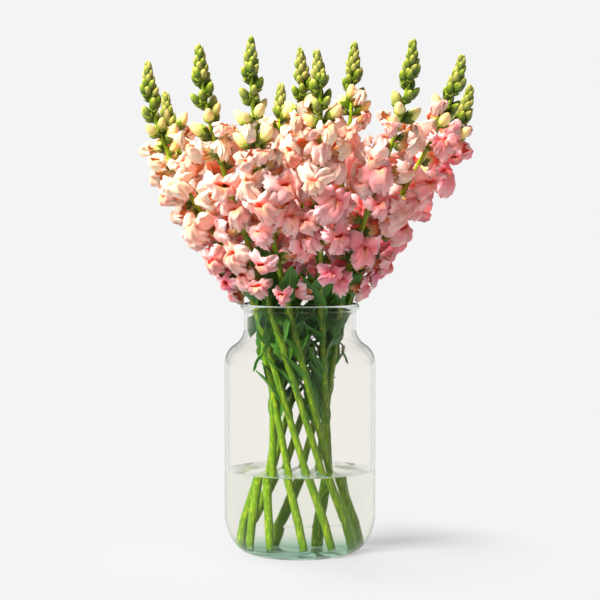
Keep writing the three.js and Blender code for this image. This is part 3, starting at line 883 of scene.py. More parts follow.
# %% Material: stalks
STALK_LOW = paint(84, 122, 6)
STALK_HIGH = paint(140, 166, 10)
STALK_STREAK = paint(198, 206, 44)
STALK_HEIGHTS = 0.18, 0.42  # metres, from the low colour to the high one
STREAK_SCALE = 700.0
STREAK_DRAWN_OUT = 0.06  # its height counts so little that spots turn into streaks
STREAK_STRENGTH = 0.5

STALKS, tree, shader = new_material("fresh stalks")
drawn_out = stretched(tree, own_place(tree), STREAK_DRAWN_OUT)
streaks = noise_of(tree, drawn_out, STREAK_SCALE, 2.0)
streak = ranged(tree, streaks, 0.5, 0.72, way="LINEAR")
colour = blended(
    tree, ranged(tree, own_height(tree), *STALK_HEIGHTS), STALK_LOW, STALK_HIGH)
streak = sum_of(tree, "MULTIPLY", streak, STREAK_STRENGTH)
colour = blended(tree, streak, colour, STALK_STREAK)
tissue(tree, shader, colour, streaks, 0.6, mottling=(0.018, 0.3),
       roughness=(0.3, 0.5), bump=0.0008, flesh=(0.2, (0.6, 1.0, 0.3), 0.002))

# %% Material: leaves and sepals
LEAF_COLOUR = paint(34, 88, 22)
LEAF_EDGE = paint(66, 120, 34)
LEAF_RIB = paint(118, 158, 72)

LEAVES_GREEN, tree, shader = new_material("lance leaves")
across, _ = across_and_along(tree)
colour = blended(tree, window(tree, across, 0.5, 0.5), LEAF_EDGE, LEAF_COLOUR)
colour = blended(tree, window(tree, across, 0.5, 0.05), colour, LEAF_RIB)
veins = veined(tree, colour, across, LEAF_RIB, 9.0, 0.5)
tissue(tree, shader, veins["Color"], veins["Height"], -0.5, mottling=(0.007, 0.3),
       roughness=(0.34, 0.55), bump=0.0008, flesh=(0.15, (0.5, 1.0, 0.2), 0.002))

# %% Material: buds
UNRIPE_RAMP = [
    (0.0, paint(42, 66, 6)), (0.45, paint(64, 90, 12)), (0.75, paint(110, 126, 26)),
    (1.0, paint(180, 180, 80)),
]
RIPE_RAMP = [
    (0.0, paint(132, 168, 40)), (0.3, paint(206, 214, 100)), (0.66, paint(246, 222, 146)),
    (1.0, paint(249, 190, 144)),
]
BUD_VEIN_COLOUR = paint(112, 140, 48)

BUDS_GREEN, tree, shader = new_material("closed buds")
across, along = across_and_along(tree)
unripe, ripe = stepped(tree, along, UNRIPE_RAMP), stepped(tree, along, RIPE_RAMP)
colour = blended(tree, mark(tree, "ripeness"), unripe, ripe)
veins = veined(tree, colour, across, BUD_VEIN_COLOUR, 12.0, 0.35)
tissue(tree, shader, veins["Color"], veins["Height"], -0.3, mottling=(0.004, 0.25),
       roughness=(0.42, 0.62), bump=0.0005, flesh=(0.3, (0.9, 1.0, 0.3), 0.003))

# %% [markdown]
# ## Glass and water
# The jar is blown from clear recycled glass, so it has almost no colour where it is thin,
# and looks green through its thick base. An absorbing volume inside it does what real glass
# does: the longer the way through it, the greener. Thin walls are too short a way for that,
# so the surface helps: it is greener and wavier at the foot, and a painted shade darkens it
# where it is looked at along its wall, which draws dark edges. Light that was bent more than
# five times goes straight on, because its loss would leave grey patches. The water is the
# same, with hardly any colour of its own.

# %% Materials: glass and water
FOOT_TINT_HEIGHTS = 0.006, 0.024
# Painted shade along the glass's edges: it grows from the first slant to the second.
PAINTED_EDGE_SLANTS = 0.66, 0.96
FOOT_WAVES = 4.0  # how much deeper the waves of a clear surface are at its foot
WAVES_FLATTENED = 2.2
LAST_BEND = 5.5
DIM_REFLECTIONS = (0.14, 0.14, 0.14, 1)


def clear(name, bend, patch, depth, tint, density, foot=None, wall=None, painted_edge_shade=None):
    """A clear material with a soft unevenness, a colour that grows with thickness and, where its
    colours are given, a painted shade along its edges.
    """
    material, tree, shader = new_material(name)
    shader.inputs["Base Color"].default_value = (1, 1, 1, 1)
    shader.inputs["Roughness"].default_value = 0.0
    shader.inputs["Metallic"].default_value = 0.0
    shader.inputs["Transmission Weight"].default_value = 1.0
    shader.inputs["IOR"].default_value = bend
    shader.inputs["Specular Tint"].default_value = DIM_REFLECTIONS
    above = ranged(tree, own_height(tree), *FOOT_TINT_HEIGHTS)
    if foot:
        # Painted shade: the colour turns dark where the surface is seen at a slant, which draws
        # dark edges.
        slant = add(tree, "LayerWeight", {"Blend": 0.5}).outputs["Facing"]
        edge = ranged(tree, slant, *PAINTED_EDGE_SLANTS)
        colour = blended(tree, edge, blended(tree, above, foot, wall), painted_edge_shade)
        tree.links.new(colour, shader.inputs["Base Color"])
    uneven = noise_of(tree, stretched(tree, own_place(tree), WAVES_FLATTENED), 1 / patch, 1.0)
    deeper = sum_of(
        tree, "MULTIPLY_ADD", above, depth * (1 - FOOT_WAVES), depth * FOOT_WAVES)
    bump = add(tree, "Bump", {"Height": uneven, "Distance": deeper, "Strength": 1.0})
    tree.links.new(bump.outputs[0], shader.inputs["Normal"])
    bends = add(tree, "LightPath").outputs["Ray Depth"]
    far_in = sum_of(tree, "GREATER_THAN", bends, LAST_BEND)
    straight_on = add(tree, "BsdfTransparent")
    mixed = add(
        tree, "MixShader", {0: far_in, 1: shader.outputs[0], 2: straight_on.outputs[0]})
    inside = add(tree, "VolumeAbsorption", {"Color": tint, "Density": density})
    ends = tree.nodes["Material Output"].inputs
    tree.links.new(mixed.outputs[0], ends["Surface"])
    tree.links.new(inside.outputs[0], ends["Volume"])
    return material


# The last colour is the painted shade along the jar's edges.
GLASS = clear(
    "clear recycled glass", 1.47, 0.045, 0.0004, paint(160, 205, 182), 9.0,
    paint(150, 200, 172), paint(255, 252, 249), paint(128, 136, 132))
WATER = clear("still water", 1.33, 0.03, 0.0001, paint(200, 222, 190), 1.5)
print("materials:", [material.name for material in bpy.data.materials])

# %% [markdown]
# ## The jar
# The jar is blown and turned: a foot, a rounded bottom corner, straight walls, a shoulder,
# a short neck and a rolled lip, with a thick floor. Half of its outline, from the middle of
# the foot over the lip and down inside to the floor, is drawn as a curve with handles, as a
# glassmaker draws a profile, and the Screw modifier turns it round the axis. Stacking
# cylinders could not give the soft corners.

# %% Turned shapes
TURNING_STEPS = 96
SEAM = 0.00001  # metres between corners that are one
HANDLE = 2 / 3  # of the way to the corner, so that the curve is the one that it pulls


def turned(name, start, strokes):
    """A half outline in mm turned round the axis, as (from the axis, height).

    Each stroke is the corner that pulls it into a curve, or None, and where it ends.
    """
    ends = [start] + [end for _, end in strokes]
    outline = fresh(bpy.ops.curve.primitive_bezier_curve_add)
    outline.name = name
    outline.data.resolution_u = 10
    outline.data.splines.clear()
    spline = outline.data.splines.new("BEZIER")
    spline.bezier_points.add(len(ends) - 1)
    knots = [Vector((radius, 0, height)) * MM for radius, height in ends]
    for point, knot in zip(spline.bezier_points, knots):
        point.handle_left_type = point.handle_right_type = "FREE"
        point.co = point.handle_left = point.handle_right = knot
    for i, (corner, _) in enumerate(strokes):
        if corner:
            pull = Vector((corner[0], 0, corner[1])) * MM
            before, after = spline.bezier_points[i], spline.bezier_points[i + 1]
            before.handle_right = before.co.lerp(pull, HANDLE)
            after.handle_left = after.co.lerp(pull, HANDLE)
    only(outline)
    bpy.ops.object.convert(target="MESH")
    with_modifier(
        outline, "SCREW", steps=TURNING_STEPS, render_steps=TURNING_STEPS,
        use_merge_vertices=True, merge_threshold=SEAM,
    )
    return smooth(weld(outline, SEAM), 50)


# %% The jar's outline
FOOT_RADIUS = 48
BODY_START = 36
SHOULDER_MIDDLE = 209
NECK_START = 227
LIP_START = 243
NECK_FLARE = 0.6
PUNT = 2.2  # how far the underside is pushed up in its middle


def wall(inset):
    """The wall from the foot to the top of the neck, moved in by inset."""
    body, neck = BODY_RADIUS - inset, NECK_RADIUS - inset
    middle = SHOULDER_MIDDLE - 0.8 * inset
    return [
        ((body - 5.5, FLOOR_HEIGHT + 3 if inset else 5), (body, BODY_START)),
        (None, (body, SHOULDER_START)),
        ((body, middle - 6), ((body + neck) / 2, middle)),
        ((neck, middle + 6), (neck, NECK_START)),
        ((neck, LIP_START - 8), (neck + NECK_FLARE, LIP_START)),
    ]


foot = [
    ((16, PUNT), (FOOT_RADIUS - 10, 0.4)),
    ((FOOT_RADIUS - 6, 0), (FOOT_RADIUS - 4, 0)),
    ((FOOT_RADIUS, 0), (FOOT_RADIUS + 2, 0.6)),
]
lip = [
    ((NECK_RADIUS + 1, LIP_START + 1.2), (LIP_RADIUS - 0.6, LIP_START + 1.6)),
    ((LIP_RADIUS + 0.2, LIP_START + 2.2), (LIP_RADIUS, LIP_START + 4)),
    ((LIP_RADIUS, JAR_HEIGHT), (LIP_RADIUS - 3, JAR_HEIGHT)),
    ((NECK_RADIUS - WALL + 1, JAR_HEIGHT), (NECK_RADIUS - WALL + NECK_FLARE, LIP_START)),
]
inside = wall(WALL)[::-1]
inner_ends = [end for _, end in inside[1:]] + [(FOOT_RADIUS, FLOOR_HEIGHT)]
inside = [(corner, end) for (corner, _), end in zip(inside, inner_ends)]
floor_of_jar = ((20, FLOOR_HEIGHT + 0.6), (0, FLOOR_HEIGHT))
jar = turned("jar", (0, PUNT), foot + wall(0) + lip + inside + [floor_of_jar])
dress(jar, GLASS, "glass", "vase")
jar.visible_shadow = False

# %% [markdown]
# ## The water
# Water wets the glass: no air lies between them, and its surface climbs the wall by about a
# millimetre. So it reaches a hair into the glass, which keeps a false layer of air from
# shining like a mirror, and its rim is drawn with that small climb. The stalks simply stand
# in it. Neither the water nor the jar throws a shadow, because clear things let the
# studio's light through, and the stalks behind them are lit.

# %% Water
WATER_LEVEL = 84
WETTING = 0.2
CLIMB = 1.3

wet = BODY_RADIUS - WALL + WETTING
still_water = turned("still_water", (0, FLOOR_HEIGHT - WETTING), [
    (None, (FOOT_RADIUS, FLOOR_HEIGHT - WETTING)),
    ((wet - 5.5, FLOOR_HEIGHT + 3 - WETTING), (wet, BODY_START)),
    (None, (wet, WATER_LEVEL + CLIMB)),
    ((wet - 0.4, WATER_LEVEL), (wet - 3.5, WATER_LEVEL)),
    (None, (0, WATER_LEVEL)),
])
dress(still_water, WATER, "water", "water")
still_water.visible_shadow = False

# %% [markdown]
# ## A flower
# A snapdragon flower is a tube with two lips. The upper lip is two wide lobes like a bow,
# with a ruffled edge. The lower lip swells up into a round cushion, the palate, that shuts
# the mouth, and then folds down over it. It is one sheet that is rolled, so it is made as
# one: a grid rolled round the tube, whose rows are given by their reach forward at the top,
# side and bottom, and by their width and height. The rows past the mouth spread out to an
# outline with lobes. A thickness of half a millimetre makes the sheet a closed skin.

# %% The rule of a flower
FLOWER_ROWS = np.array([
    # v, forward at top, side and bottom, half width, highest, lowest
    [0.00, 3.0, 3.0, 3.0, 1.5, 1.5, -1.7],
    [0.12, 8.0, 8.0, 7.5, 2.9, 2.8, -3.9],
    [0.28, 14.0, 14.0, 14.0, 3.8, 4.0, -5.0],
    [0.40, 18.5, 18.5, 19.5, 4.4, 5.2, -4.4],
    [0.49, 21.3, 21.6, 23.0, 4.8, 5.8, 0.8],
    [0.56, 22.4, 23.4, 26.0, 5.2, 6.4, 5.6],
    [0.61, 23.0, 24.4, 28.4, 5.8, 7.2, 6.2],
    [0.67, 23.6, 25.0, 30.2, 6.4, 8.2, 3.6],
    [0.75, 24.0, 25.0, 31.2, 6.4, 8.2, 3.6],
    [0.83, 23.8, 24.4, 30.2, 6.4, 8.2, 3.6],
    [0.92, 22.6, 22.8, 27.2, 6.4, 8.2, 3.6],
    [1.00, 20.2, 20.4, 22.5, 6.4, 8.2, 3.6],
])
SPREAD_START = 0.67
LOBES = np.array([  # turn from the top in degrees, reach in mm
    [0, 9.5], [8, 12], [22, 17], [38, 19.5], [54, 18.5], [68, 15], [80, 9.5], [88, 7.6],
    [98, 8.8], [110, 10.8], [124, 12.2], [138, 12], [148, 10.2], [156, 11.6], [168, 14],
    [180, 14.8],
])
CREASES = [  # turn, width in degrees, depth in mm: where one lobe ends and the next begins
    (0, 13, 2.6), (87, 10, 3.2), (149, 10, 2.4),
]
PETAL_THICKNESS = 0.45
FLOWER_GRID = 60, 15  # faces round the tube and from root to edge


def flower_shape(spread, curl, ruffle, tuck, seed):
    """The rule for one kind of flower: how it opens, curls back, ruffles and tucks under."""
    luck = [2 * math.pi * draw(seed, i) for i in range(8)]

    def shape(u, v):
        angle = 2 * math.pi * u
        turn = np.degrees(np.minimum(angle, 2 * math.pi - angle))
        row = [np.interp(v, FLOWER_ROWS[:, 0], column) for column in FLOWER_ROWS.T[1:]]
        top, side, bottom, width, highest, lowest = row
        up, down = np.maximum(np.cos(angle), 0), np.maximum(-np.cos(angle), 0)
        forward = side + (top - side) * up**1.5 + (bottom - side) * down**0.9
        out = width * np.sin(angle)
        rise = lowest + (highest - lowest) * (1 + np.cos(angle)) / 2
        share = np.clip((v - SPREAD_START) / (1 - SPREAD_START), 0, 1)
        edge = share**1.6
        uneven = 1 + 0.06 * np.sin(angle + luck[0]) + 0.05 * np.sin(2 * angle + luck[1])
        reach = np.interp(turn, LOBES[:, 0], LOBES[:, 1]) * spread * uneven
        frill = 0.7 * np.sin(13 * angle + luck[5]) + 0.6 * np.sin(19 * angle + luck[6])
        reach = reach * (1 - 0.04 * tuck * down) + ruffle * frill * edge
        out = out + (reach * np.sin(angle) - out) * share**0.9
        rise = rise + (reach * np.cos(angle) - rise) * share**0.9
        ruffles = (
            0.9 * np.sin(6 * angle + luck[2]) + np.sin(11 * angle + luck[3])
            + 0.9 * np.sin(17 * angle + luck[4])
        )
        forward = forward + ruffle * edge * ruffles * (0.5 + 0.5 * up**0.5)
        forward = forward - curl * edge * (np.abs(out) / 16) ** 2 * (0.5 + 0.5 * up)
        forward = forward - tuck * share**2.2 * down
        for middle, breadth, depth in CREASES:
            forward = forward - depth * share**0.8 * np.exp(-((turn - middle) / breadth) ** 2)
        groove = np.exp(-(((180 - turn) / 16) ** 2) - ((v - 0.64) / 0.09) ** 2)
        return np.column_stack([forward - 1.5 * groove, out, rise - 1.0 * groove])

    return shape


# %% Models of open flowers
FLOWER_KINDS = [  # spread, curl, ruffle, tuck
    (1.0, 4.0, 1.5, 5.0), (1.05, 7.0, 1.8, 8.0), (0.96, 2.0, 1.6, 2.0), (1.02, 9.0, 1.5, 6.5),
    (0.9, 5.0, 2.0, 3.0), (1.1, 11.0, 1.7, 7.0),
]
YOUNG_KINDS = [(0.68, 1.0, 0.7, 3.0), (0.8, 4.0, 1.0, 4.0)]


def flower_model(name, kind, seed):
    return thickened(rolled(name, *FLOWER_GRID, flower_shape(*kind, seed)), PETAL_THICKNESS)


def models_of(name, kinds, first_seed, make):
    """A model of each kind, with a seed of its own."""
    return [master(make(f"{name} {i}", kind, first_seed + i)) for i, kind in enumerate(kinds)]


OPEN_FLOWERS = models_of("open flower", FLOWER_KINDS, 40, flower_model)
YOUNG_FLOWERS = models_of("young flower", YOUNG_KINDS, 60, flower_model)
print("faces of a flower:", len(OPEN_FLOWERS[0].data.polygons))

# %% [markdown]
# ## Calyx, bud and bract
# Every flower and bud sits in a small green cup with five pointed sepals, on a stalk of a
# few millimetres, above a little leaf called a bract. The cup is a rolled grid that goes
# out, over its toothed rim and back in, so it has a wall from the start. A bud is a
# rolled grid too: an egg with a blunt, slightly raised end and five faint furrows.

# %% Models of a calyx and a bud
def calyx_shape(u, v):
    """Out along the little stalk, over five teeth, and back inside."""
    angle = 2 * math.pi * u
    teeth = np.abs(np.cos(2.5 * angle)) ** 0.7
    rows = [0, 0.02, 0.3, 0.42, 0.6, 0.72, 0.8, 0.98, 1]
    forward = np.interp(v, rows, [1.2, 1.2, 3.2, 4.2, 7.2, 10.0, 10.0, 5.0, 5.0])
    radius = np.interp(v, rows, [0, 1.05, 1.05, 2.3, 3.9, 4.4, 4.0, 1.2, 0])
    tooth = np.interp(v, [0.6, 0.72, 0.8, 0.9], [0.2, 1, 1, 0])
    forward = forward - 3.4 * tooth * (1 - teeth)
    radius = radius + 0.5 * tooth * teeth
    return np.column_stack([forward, radius * np.sin(angle), radius * np.cos(angle)])


def bud_shape(u, v):
    """A narrow root, a swollen middle with five furrows, and a pointed raised end."""
    angle = 2 * math.pi * u
    run = v**0.9
    swell = np.interp(run, [0, 0.05, 0.2, 0.38, 0.55, 0.74, 0.9, 1],
                      [0, 0.5, 0.78, 0.98, 1, 0.8, 0.46, 0])
    radius = 4.8 * swell * (1 - 0.12 * np.abs(np.cos(2.5 * angle)) * (1 - 0.6 * run))
    rise = radius * np.cos(angle) * (1 - 0.1 * run) + 2.2 * run**2
    return np.column_stack([2.4 + 16.2 * run, radius * np.sin(angle), rise])


CALYX = master(rolled("calyx", 10, 9, calyx_shape))
BUD = master(rolled("bud", 12, 9, bud_shape))
BEAD = master(rolled("bead bud", 7, 6, bud_shape))


# %% Models of leaves
LEAF_THICKNESS = 0.4
LEAF_GRID = 6, 14


def leaf_shape(fold, twist, wave, breadth, seed):
    """A lance blade that droops along its length, folded up on both sides of its rib."""
    luck = [2 * math.pi * draw(seed, i) for i in range(2)]

    def shape(u, v):
        across, run = 2 * u - 1, 0.02 + 0.98 * v
        width = 0.5 * LEAF_WIDTH * np.sin(math.pi * run**0.72) ** 0.85 + 0.5 * (1 - run)
        out = across * width * 1.06 * breadth
        rise = fold * np.abs(out) + wave * np.sin(9 * run + luck[0]) * across**2
        roll = twist * run * np.sin(3 * run + luck[1])
        side = out * np.cos(roll) - rise * np.sin(roll)
        top = out * np.sin(roll) + rise * np.cos(roll)
        return np.column_stack([
            LEAF_LENGTH * run, side, top - LEAF_DROOP * run * run * LEAF_LENGTH,
        ])

    return shape


def leaf_model(name, kind, seed):
    return thickened(bent_grid(name, *LEAF_GRID, leaf_shape(*kind, seed)), LEAF_THICKNESS, 60)


LEAF_KINDS = [  # fold, twist, wave, breadth
    (0.35, 0.5, 0.5, 1.0), (0.2, -0.7, 0.9, 1.1), (0.5, 0.3, 0.3, 1.0),
]
WIDE_KINDS = [(0.22, 0.5, 1.6, 1.8), (0.1, -0.8, 2.0, 2.1), (0.4, 0.9, 1.2, 1.6)]
LEAF_MODELS = models_of("leaf", LEAF_KINDS, 80, leaf_model)
WIDE_MODELS = models_of("wide leaf", WIDE_KINDS, 90, leaf_model)
print("models:", [piece.name for piece in MASTERS])

# %% [markdown]
# ## Stalks
# A stalk is a round rod of fresh tissue that thins upwards, with a low swelling at each
# joint where a leaf was stripped off, and a small scar there. It follows the line of the
# plan as a curve with a round bevel, whose radius is set point by point, and is then made a
# mesh. A row of cylinders would show its joints.

# %% Stalk and scars
STALK_STEP = 5.0
JOINT_START = 24
JOINT_START_SWING = 20
JOINT_SPACING = 38.0
JOINT_UNEVEN = (0.85, 1.15)
JOINT_SWELL = 0.09
JOINT_REACH = 3.0
LAST_JOINT = 60  # past the neck
TOP_RADIUS = 0.9
SCAR_TURN = 75  # degrees from one joint to the next
SCAR_LIFT = 35


def joints_of(number):
    """How far up a stalk its joints are."""
    first = JOINT_START + JOINT_START_SWING * draw(number, 11)
    spacing = JOINT_SPACING * mix(*JOINT_UNEVEN, draw(number, 12))
    return np.arange(first, LINES[number].neck_length + LAST_JOINT, spacing)


def stalk_curve(number):
    line = LINES[number]
    distances = np.linspace(0, line.length - 2, round(line.length / STALK_STEP))
    rod = fresh(bpy.ops.curve.primitive_nurbs_path_add)
    rod.data.splines.clear()
    spline = rod.data.splines.new("POLY")
    spline.points.add(len(distances) - 1)
    for point, distance in zip(spline.points, distances):
        swell = sum(
            math.exp(-((distance - joint) / JOINT_REACH) ** 2) for joint in joints_of(number))
        up_the_tip = max(0, 1 - (line.length - distance) / CLUSTER_LENGTH)
        thin = mix(1, TOP_RADIUS / TIP_RADIUS, up_the_tip)
        point.co = (*(point_along(line, distance) * MM), 1)
        point.radius = stalk_radius(line, distance) * (1 + JOINT_SWELL * swell) * thin
    rod.data.bevel_depth = MM
    rod.data.bevel_resolution = 4
    rod.data.use_fill_caps = True
    only(rod)
    bpy.ops.object.convert(target="MESH")
    return smooth(rod, 60)


def scar_shape(u, v):
    angle = 2 * math.pi * u
    radius = np.interp(v, [0, 0.25, 0.6, 0.85, 1], [0, 2.0, 1.9, 1.3, 0])
    forward = np.interp(v, [0, 0.25, 0.6, 1], [1.0, 2.2, 4.0, 4.6])
    return np.column_stack([forward, radius * np.sin(angle), 0.8 * radius * np.cos(angle)])


SCAR = master(rolled("leaf scar", 8, 5, scar_shape))
for number, line in enumerate(LINES):
    pieces = [stalk_curve(number)]
    for (i, joint), turn in product(enumerate(joints_of(number)), (0, 180)):
        azimuth = 360 * draw(number, 13) + SCAR_TURN * i + turn
        at = growth(line, joint, azimuth, SCAR_LIFT)
        pieces.append(grow(SCAR, at, stalk_radius(line, joint) / CUT_RADIUS))
    piece = joined(f"stalk_{number + 1}", pieces)
    dress(piece, STALKS, "green_plant", f"stem_{number + 1}")

# %% [markdown]
# ## Buds
# Above the open flowers come closed buds, large and cream at the bottom and small, green
# and tight as beads at the tip. The lowest ones stand where the plan put them, with others
# half a step between them, and the beads wind round the tip on the golden angle, the turn
# by which a real spike packs its buds.

# %% Buds of every spike
BUD_GROWTH = 1.08
RIPE_GROWTH = 0.14
RIPENESS, RIPENESS_DROP, RIPENESS_SWING = 1.1, 2.6, 0.4  # lowest bud, to the top, by luck
BETWEEN_SIZE = 0.98  # of a bud between two of the plan
BETWEEN_LIFTS = (36, 58)
BETWEEN_RIPENESS = 0.7
BUD_STALK = 3.2  # mm, from the stalk out to a bud
BEAD_COUNT = 21
BEAD_SIZES = (0.82, 0.66)  # of a whole bud, from the bottom of the beads to the tip
BEAD_UNEVEN = (0.92, 1.08)
BEAD_LIFTS = (40, 74)
BEAD_RIPENESS = 0.25
BEAD_END = 6.0  # mm from the last bead up to the stalk's end
BEAD_SINK = 1.56  # mm into the stalk, for a bead of size 1


def moved(at, out):
    """The same growth, some millimetres further out."""
    return at._replace(origin=at.origin + at.forward * out)


def bud_growths(number):
    """Every bud of a spike: where it grows, its size and how ripe it is."""
    line = LINES[number]
    found = []
    for bud in BUDS[number]:
        share = bud.step / (BUD_COUNT - 1)
        luck = RIPENESS_SWING * draw(number, bud.step, 17)
        ripeness = float(np.clip(RIPENESS - RIPENESS_DROP * share + luck, 0, 1))
        size = BUD_GROWTH * bud.size * (1 + RIPE_GROWTH * ripeness)
        found.append((moved(bud.at, BUD_STALK), size, ripeness))
        if bud.step < BUD_COUNT - 1:
            half = share + 0.5 / (BUD_COUNT - 1)
            azimuth = flower_azimuth(number, bud.step + 1.5)
            at = growth(line, line.length - below_tip(half), azimuth, mix(*BETWEEN_LIFTS, half))
            size = BETWEEN_SIZE * mix(*BUD_SIZES, half)
            found.append((moved(at, BUD_STALK), size, ripeness * BETWEEN_RIPENESS))
    return found + [(moved(bud.at, BUD_STALK), bud.size, 1.0) for bud in RIPE_BUDS[number]]


def bead_growths(number):
    line = LINES[number]
    found = []
    for i in range(BEAD_COUNT):
        share = i / (BEAD_COUNT - 1)
        distance = line.length - mix(CLUSTER_LENGTH, BEAD_END, share)
        azimuth = flower_azimuth(number, BUD_COUNT + 1 + i)
        size = mix(*BEAD_SIZES, share) * mix(*BEAD_UNEVEN, draw(number, i, 18))
        at = growth(line, distance, azimuth, mix(*BEAD_LIFTS, share))
        ripeness = BEAD_RIPENESS * draw(number, i, 19)
        found.append((moved(at, -BEAD_SINK * size), size, ripeness))
    return found


for number in range(len(STEMS)):
    pieces = [
        grow(model, at, size, ripeness=ripeness)
        for model, growths in ((BUD, bud_growths(number)), (BEAD, bead_growths(number)))
        for at, size, ripeness in growths
    ]
    piece = joined(f"buds_{number + 1}", pieces)
    dress(piece, BUDS_GREEN, "green_plant", f"stem_{number + 1}")

# %% [markdown]
# ## Leaves on the stems
# The long lance leaves and the broad ones of the gaps stand or hang where the plan put
# them, most of them in and just above the neck of the jar. Under every flower and bud there
# is also a bract, a leaf a few millimetres long, so the same models are used again, small.

# %% Leaves and bracts
BRACT_SIZE = 0.3
BRACT_UNEVEN = (0.8, 1.3)
BUD_BRACT_SIZE = 0.24
BRACT_DROP = 3.0
BRACT_LIFT = 30


def one_of(models, *keys):
    """One of several models, by a steady draw."""
    return models[int(len(models) * draw(*keys))]


for number, line in enumerate(LINES):
    pieces = []
    narrow = LEAVES[number] + INNER_LEAVES[number]
    for models, leaves in ((LEAF_MODELS, narrow), (WIDE_MODELS, FILL_LEAVES[number])):
        for i, leaf in enumerate(leaves):
            pieces.append(grow(one_of(models, number, i, 14), leaf.at, leaf.size))
    for i, flower in enumerate(FLORETS[number] + FILL_FLORETS[number]):
        azimuth = math.degrees(math.atan2(flower.at.forward[1], flower.at.forward[0]))
        at = growth(line, flower.distance - BRACT_DROP, azimuth, BRACT_LIFT)
        size = BRACT_SIZE * mix(*BRACT_UNEVEN, draw(number, i, 16))
        pieces.append(grow(one_of(LEAF_MODELS, number, i, 15), at, size))
    for i, (at, size, _) in enumerate(bud_growths(number)):
        pieces.append(grow(LEAF_MODELS[i % len(LEAF_MODELS)], at, BUD_BRACT_SIZE * size))
    piece = joined(f"leaves_{number + 1}", pieces)
    dress(piece, LEAVES_GREEN, "green_plant", f"stem_{number + 1}")

# %% [markdown]
# ## Open flowers
# No two flowers are alike, so each copy is crumpled a little by a noise of its own, more at
# its lips than at its root, turned, stretched, and marked with its blush. The noise gets a
# seed once, so that every run crumples them the same way. Flowers low on a spike are older
# and pinker, those just over the rim are smaller, and the bunch is paler on its left, where
# the key light falls, and pinker on its right: partly its own colour, partly painted light.

# %% Flowers of every spike
CRUMPLES = [  # for each size of waves, in mm: how deep at the lips, and which way it shifts
    (13.0, 3.4, 1), (4.4, 2.0, -1),
]
CRUMPLE_START, CRUMPLE_RUN = 8, 14  # mm from the root, where it begins and grows to full
SEED = 11
YOUNG_STEPS = 2
LOW_HEIGHT = 55  # above the rim: the flowers below it are smaller, down to a share
LOW_SIZE = 0.72
NODS = (24, 20, 20)  # degrees at most, rolled, nodded and turned aside
WIDTHS = (0.84, 1.12)  # of a flower, across and in height
CUP_SIZE = 1.2  # of a bud's cup, for a bud of size 1
BLUSH = 0.74  # in the bunch's middle
# Partly painted light: paler on the lit left of the bunch, pinker in the shade on its right.
BLUSH_AND_PAINTED_SHADE_TO_RIGHT = 0.34  # more on the right edge, and as much less on the left one
EDGE_OF_BUNCH = 170
BLUSH_UP, BLUSH_HEIGHT, BLUSH_RUN = -0.5, 300, 130  # change for each run above a height
BLUSH_SWING = 0.4

noise.seed_set(SEED)


def crumpled(piece, seed):
    """Move a flower's corners by a noise of its own; its root stays where it is."""
    shift = Vector((91.0 * draw(seed, 21), 57.0 * draw(seed, 22), 73.0 * draw(seed, 23)))
    moved_corners = []
    for place in np.array([corner.co for corner in piece.data.vertices]):
        hold = min(1.0, max(0.0, (place[0] - CRUMPLE_START) / CRUMPLE_RUN))
        push = Vector((0, 0, 0))
        for size, depth, way in CRUMPLES:
            push += noise.noise_vector(Vector(place / size) + way * shift) * depth
        moved_corners.append(Vector(place) + push * hold)
    piece.data.vertices.foreach_set("co", np.array(moved_corners, np.float32).ravel())


def blush_of(flower, number, i):
    """How pink a flower is, from its place in the bunch and on its spike; paler on the left
    partly as painted light.
    """
    x, _, z = flower.at.origin
    # Painted light: paler to the left where the key light falls, pinker in the shade to the
    # right.
    share = BLUSH + BLUSH_AND_PAINTED_SHADE_TO_RIGHT * x / EDGE_OF_BUNCH
    share += BLUSH_UP * (z - BLUSH_HEIGHT) / BLUSH_RUN
    share += BLUSH_SWING * (draw(number, i, 24) - 0.5)
    return float(np.clip(share, 0, 1))


def own_flower(model, number, i):
    """A copy of a model, crumpled, turned and stretched like no other."""
    flower = own_copy(model)
    crumpled(flower, 1000 * number + i)
    turns = [mix(-limit, limit, draw(number, i, 30 + k)) for k, limit in enumerate(NODS)]
    flower.data.transform(Euler(map(math.radians, turns)).to_matrix().to_4x4())
    wide, high = (mix(*WIDTHS, draw(number, i, key)) for key in (34, 35))
    flower.data.transform(Matrix.Diagonal((1, wide, high, 1)))
    return flower


for number in range(len(STEMS)):
    pieces, calyces = [], []
    for i, flower in enumerate(FLORETS[number] + FILL_FLORETS[number]):
        models = YOUNG_FLOWERS if flower.step < YOUNG_STEPS else OPEN_FLOWERS
        template = own_flower(one_of(models, number, i, 25), number, i)
        low = np.clip((flower.at.origin[2] - JAR_HEIGHT) / LOW_HEIGHT, 0, 1)
        size = flower.size * mix(LOW_SIZE, 1, float(low))
        pieces.append(grow(template, flower.at, size, blush=blush_of(flower, number, i)))
        bpy.data.objects.remove(template)
        calyces.append(grow(CALYX, flower.at, size))
    for at, size, _ in bud_growths(number):
        calyces.append(grow(CALYX, moved(at, -BUD_STALK), size * CUP_SIZE))
    piece = joined(f"florets_{number + 1}", pieces)
    dress(piece, PETALS, "pink_petals", f"blossoms_{number + 1}")
    cups = joined(f"calyces_{number + 1}", calyces)
    dress(cups, BUDS_GREEN, "green_plant", f"stem_{number + 1}")

# %% Put the models away
for model in MASTERS:
    bpy.data.objects.remove(model)

# %% [markdown]
# ## Studio
# The bunch stands on a pale sweep with no edge: the floor runs into the background. A large
# disc does it without a curve. Near the jar it is matt and takes the soft shadow, and
# further out it fades into a plain glow that is as bright as the background, so that no
# horizon shows.

# %% Floor
BACKGROUND = paint(244, 244, 244)
FLOOR_SIZE = 6.0
FADE_FROM, FADE_TO = 0.1, 0.27
FLOOR_COLOUR = (0.325, 0.328, 0.334, 1)
NEAREST_GLOW = 0.4

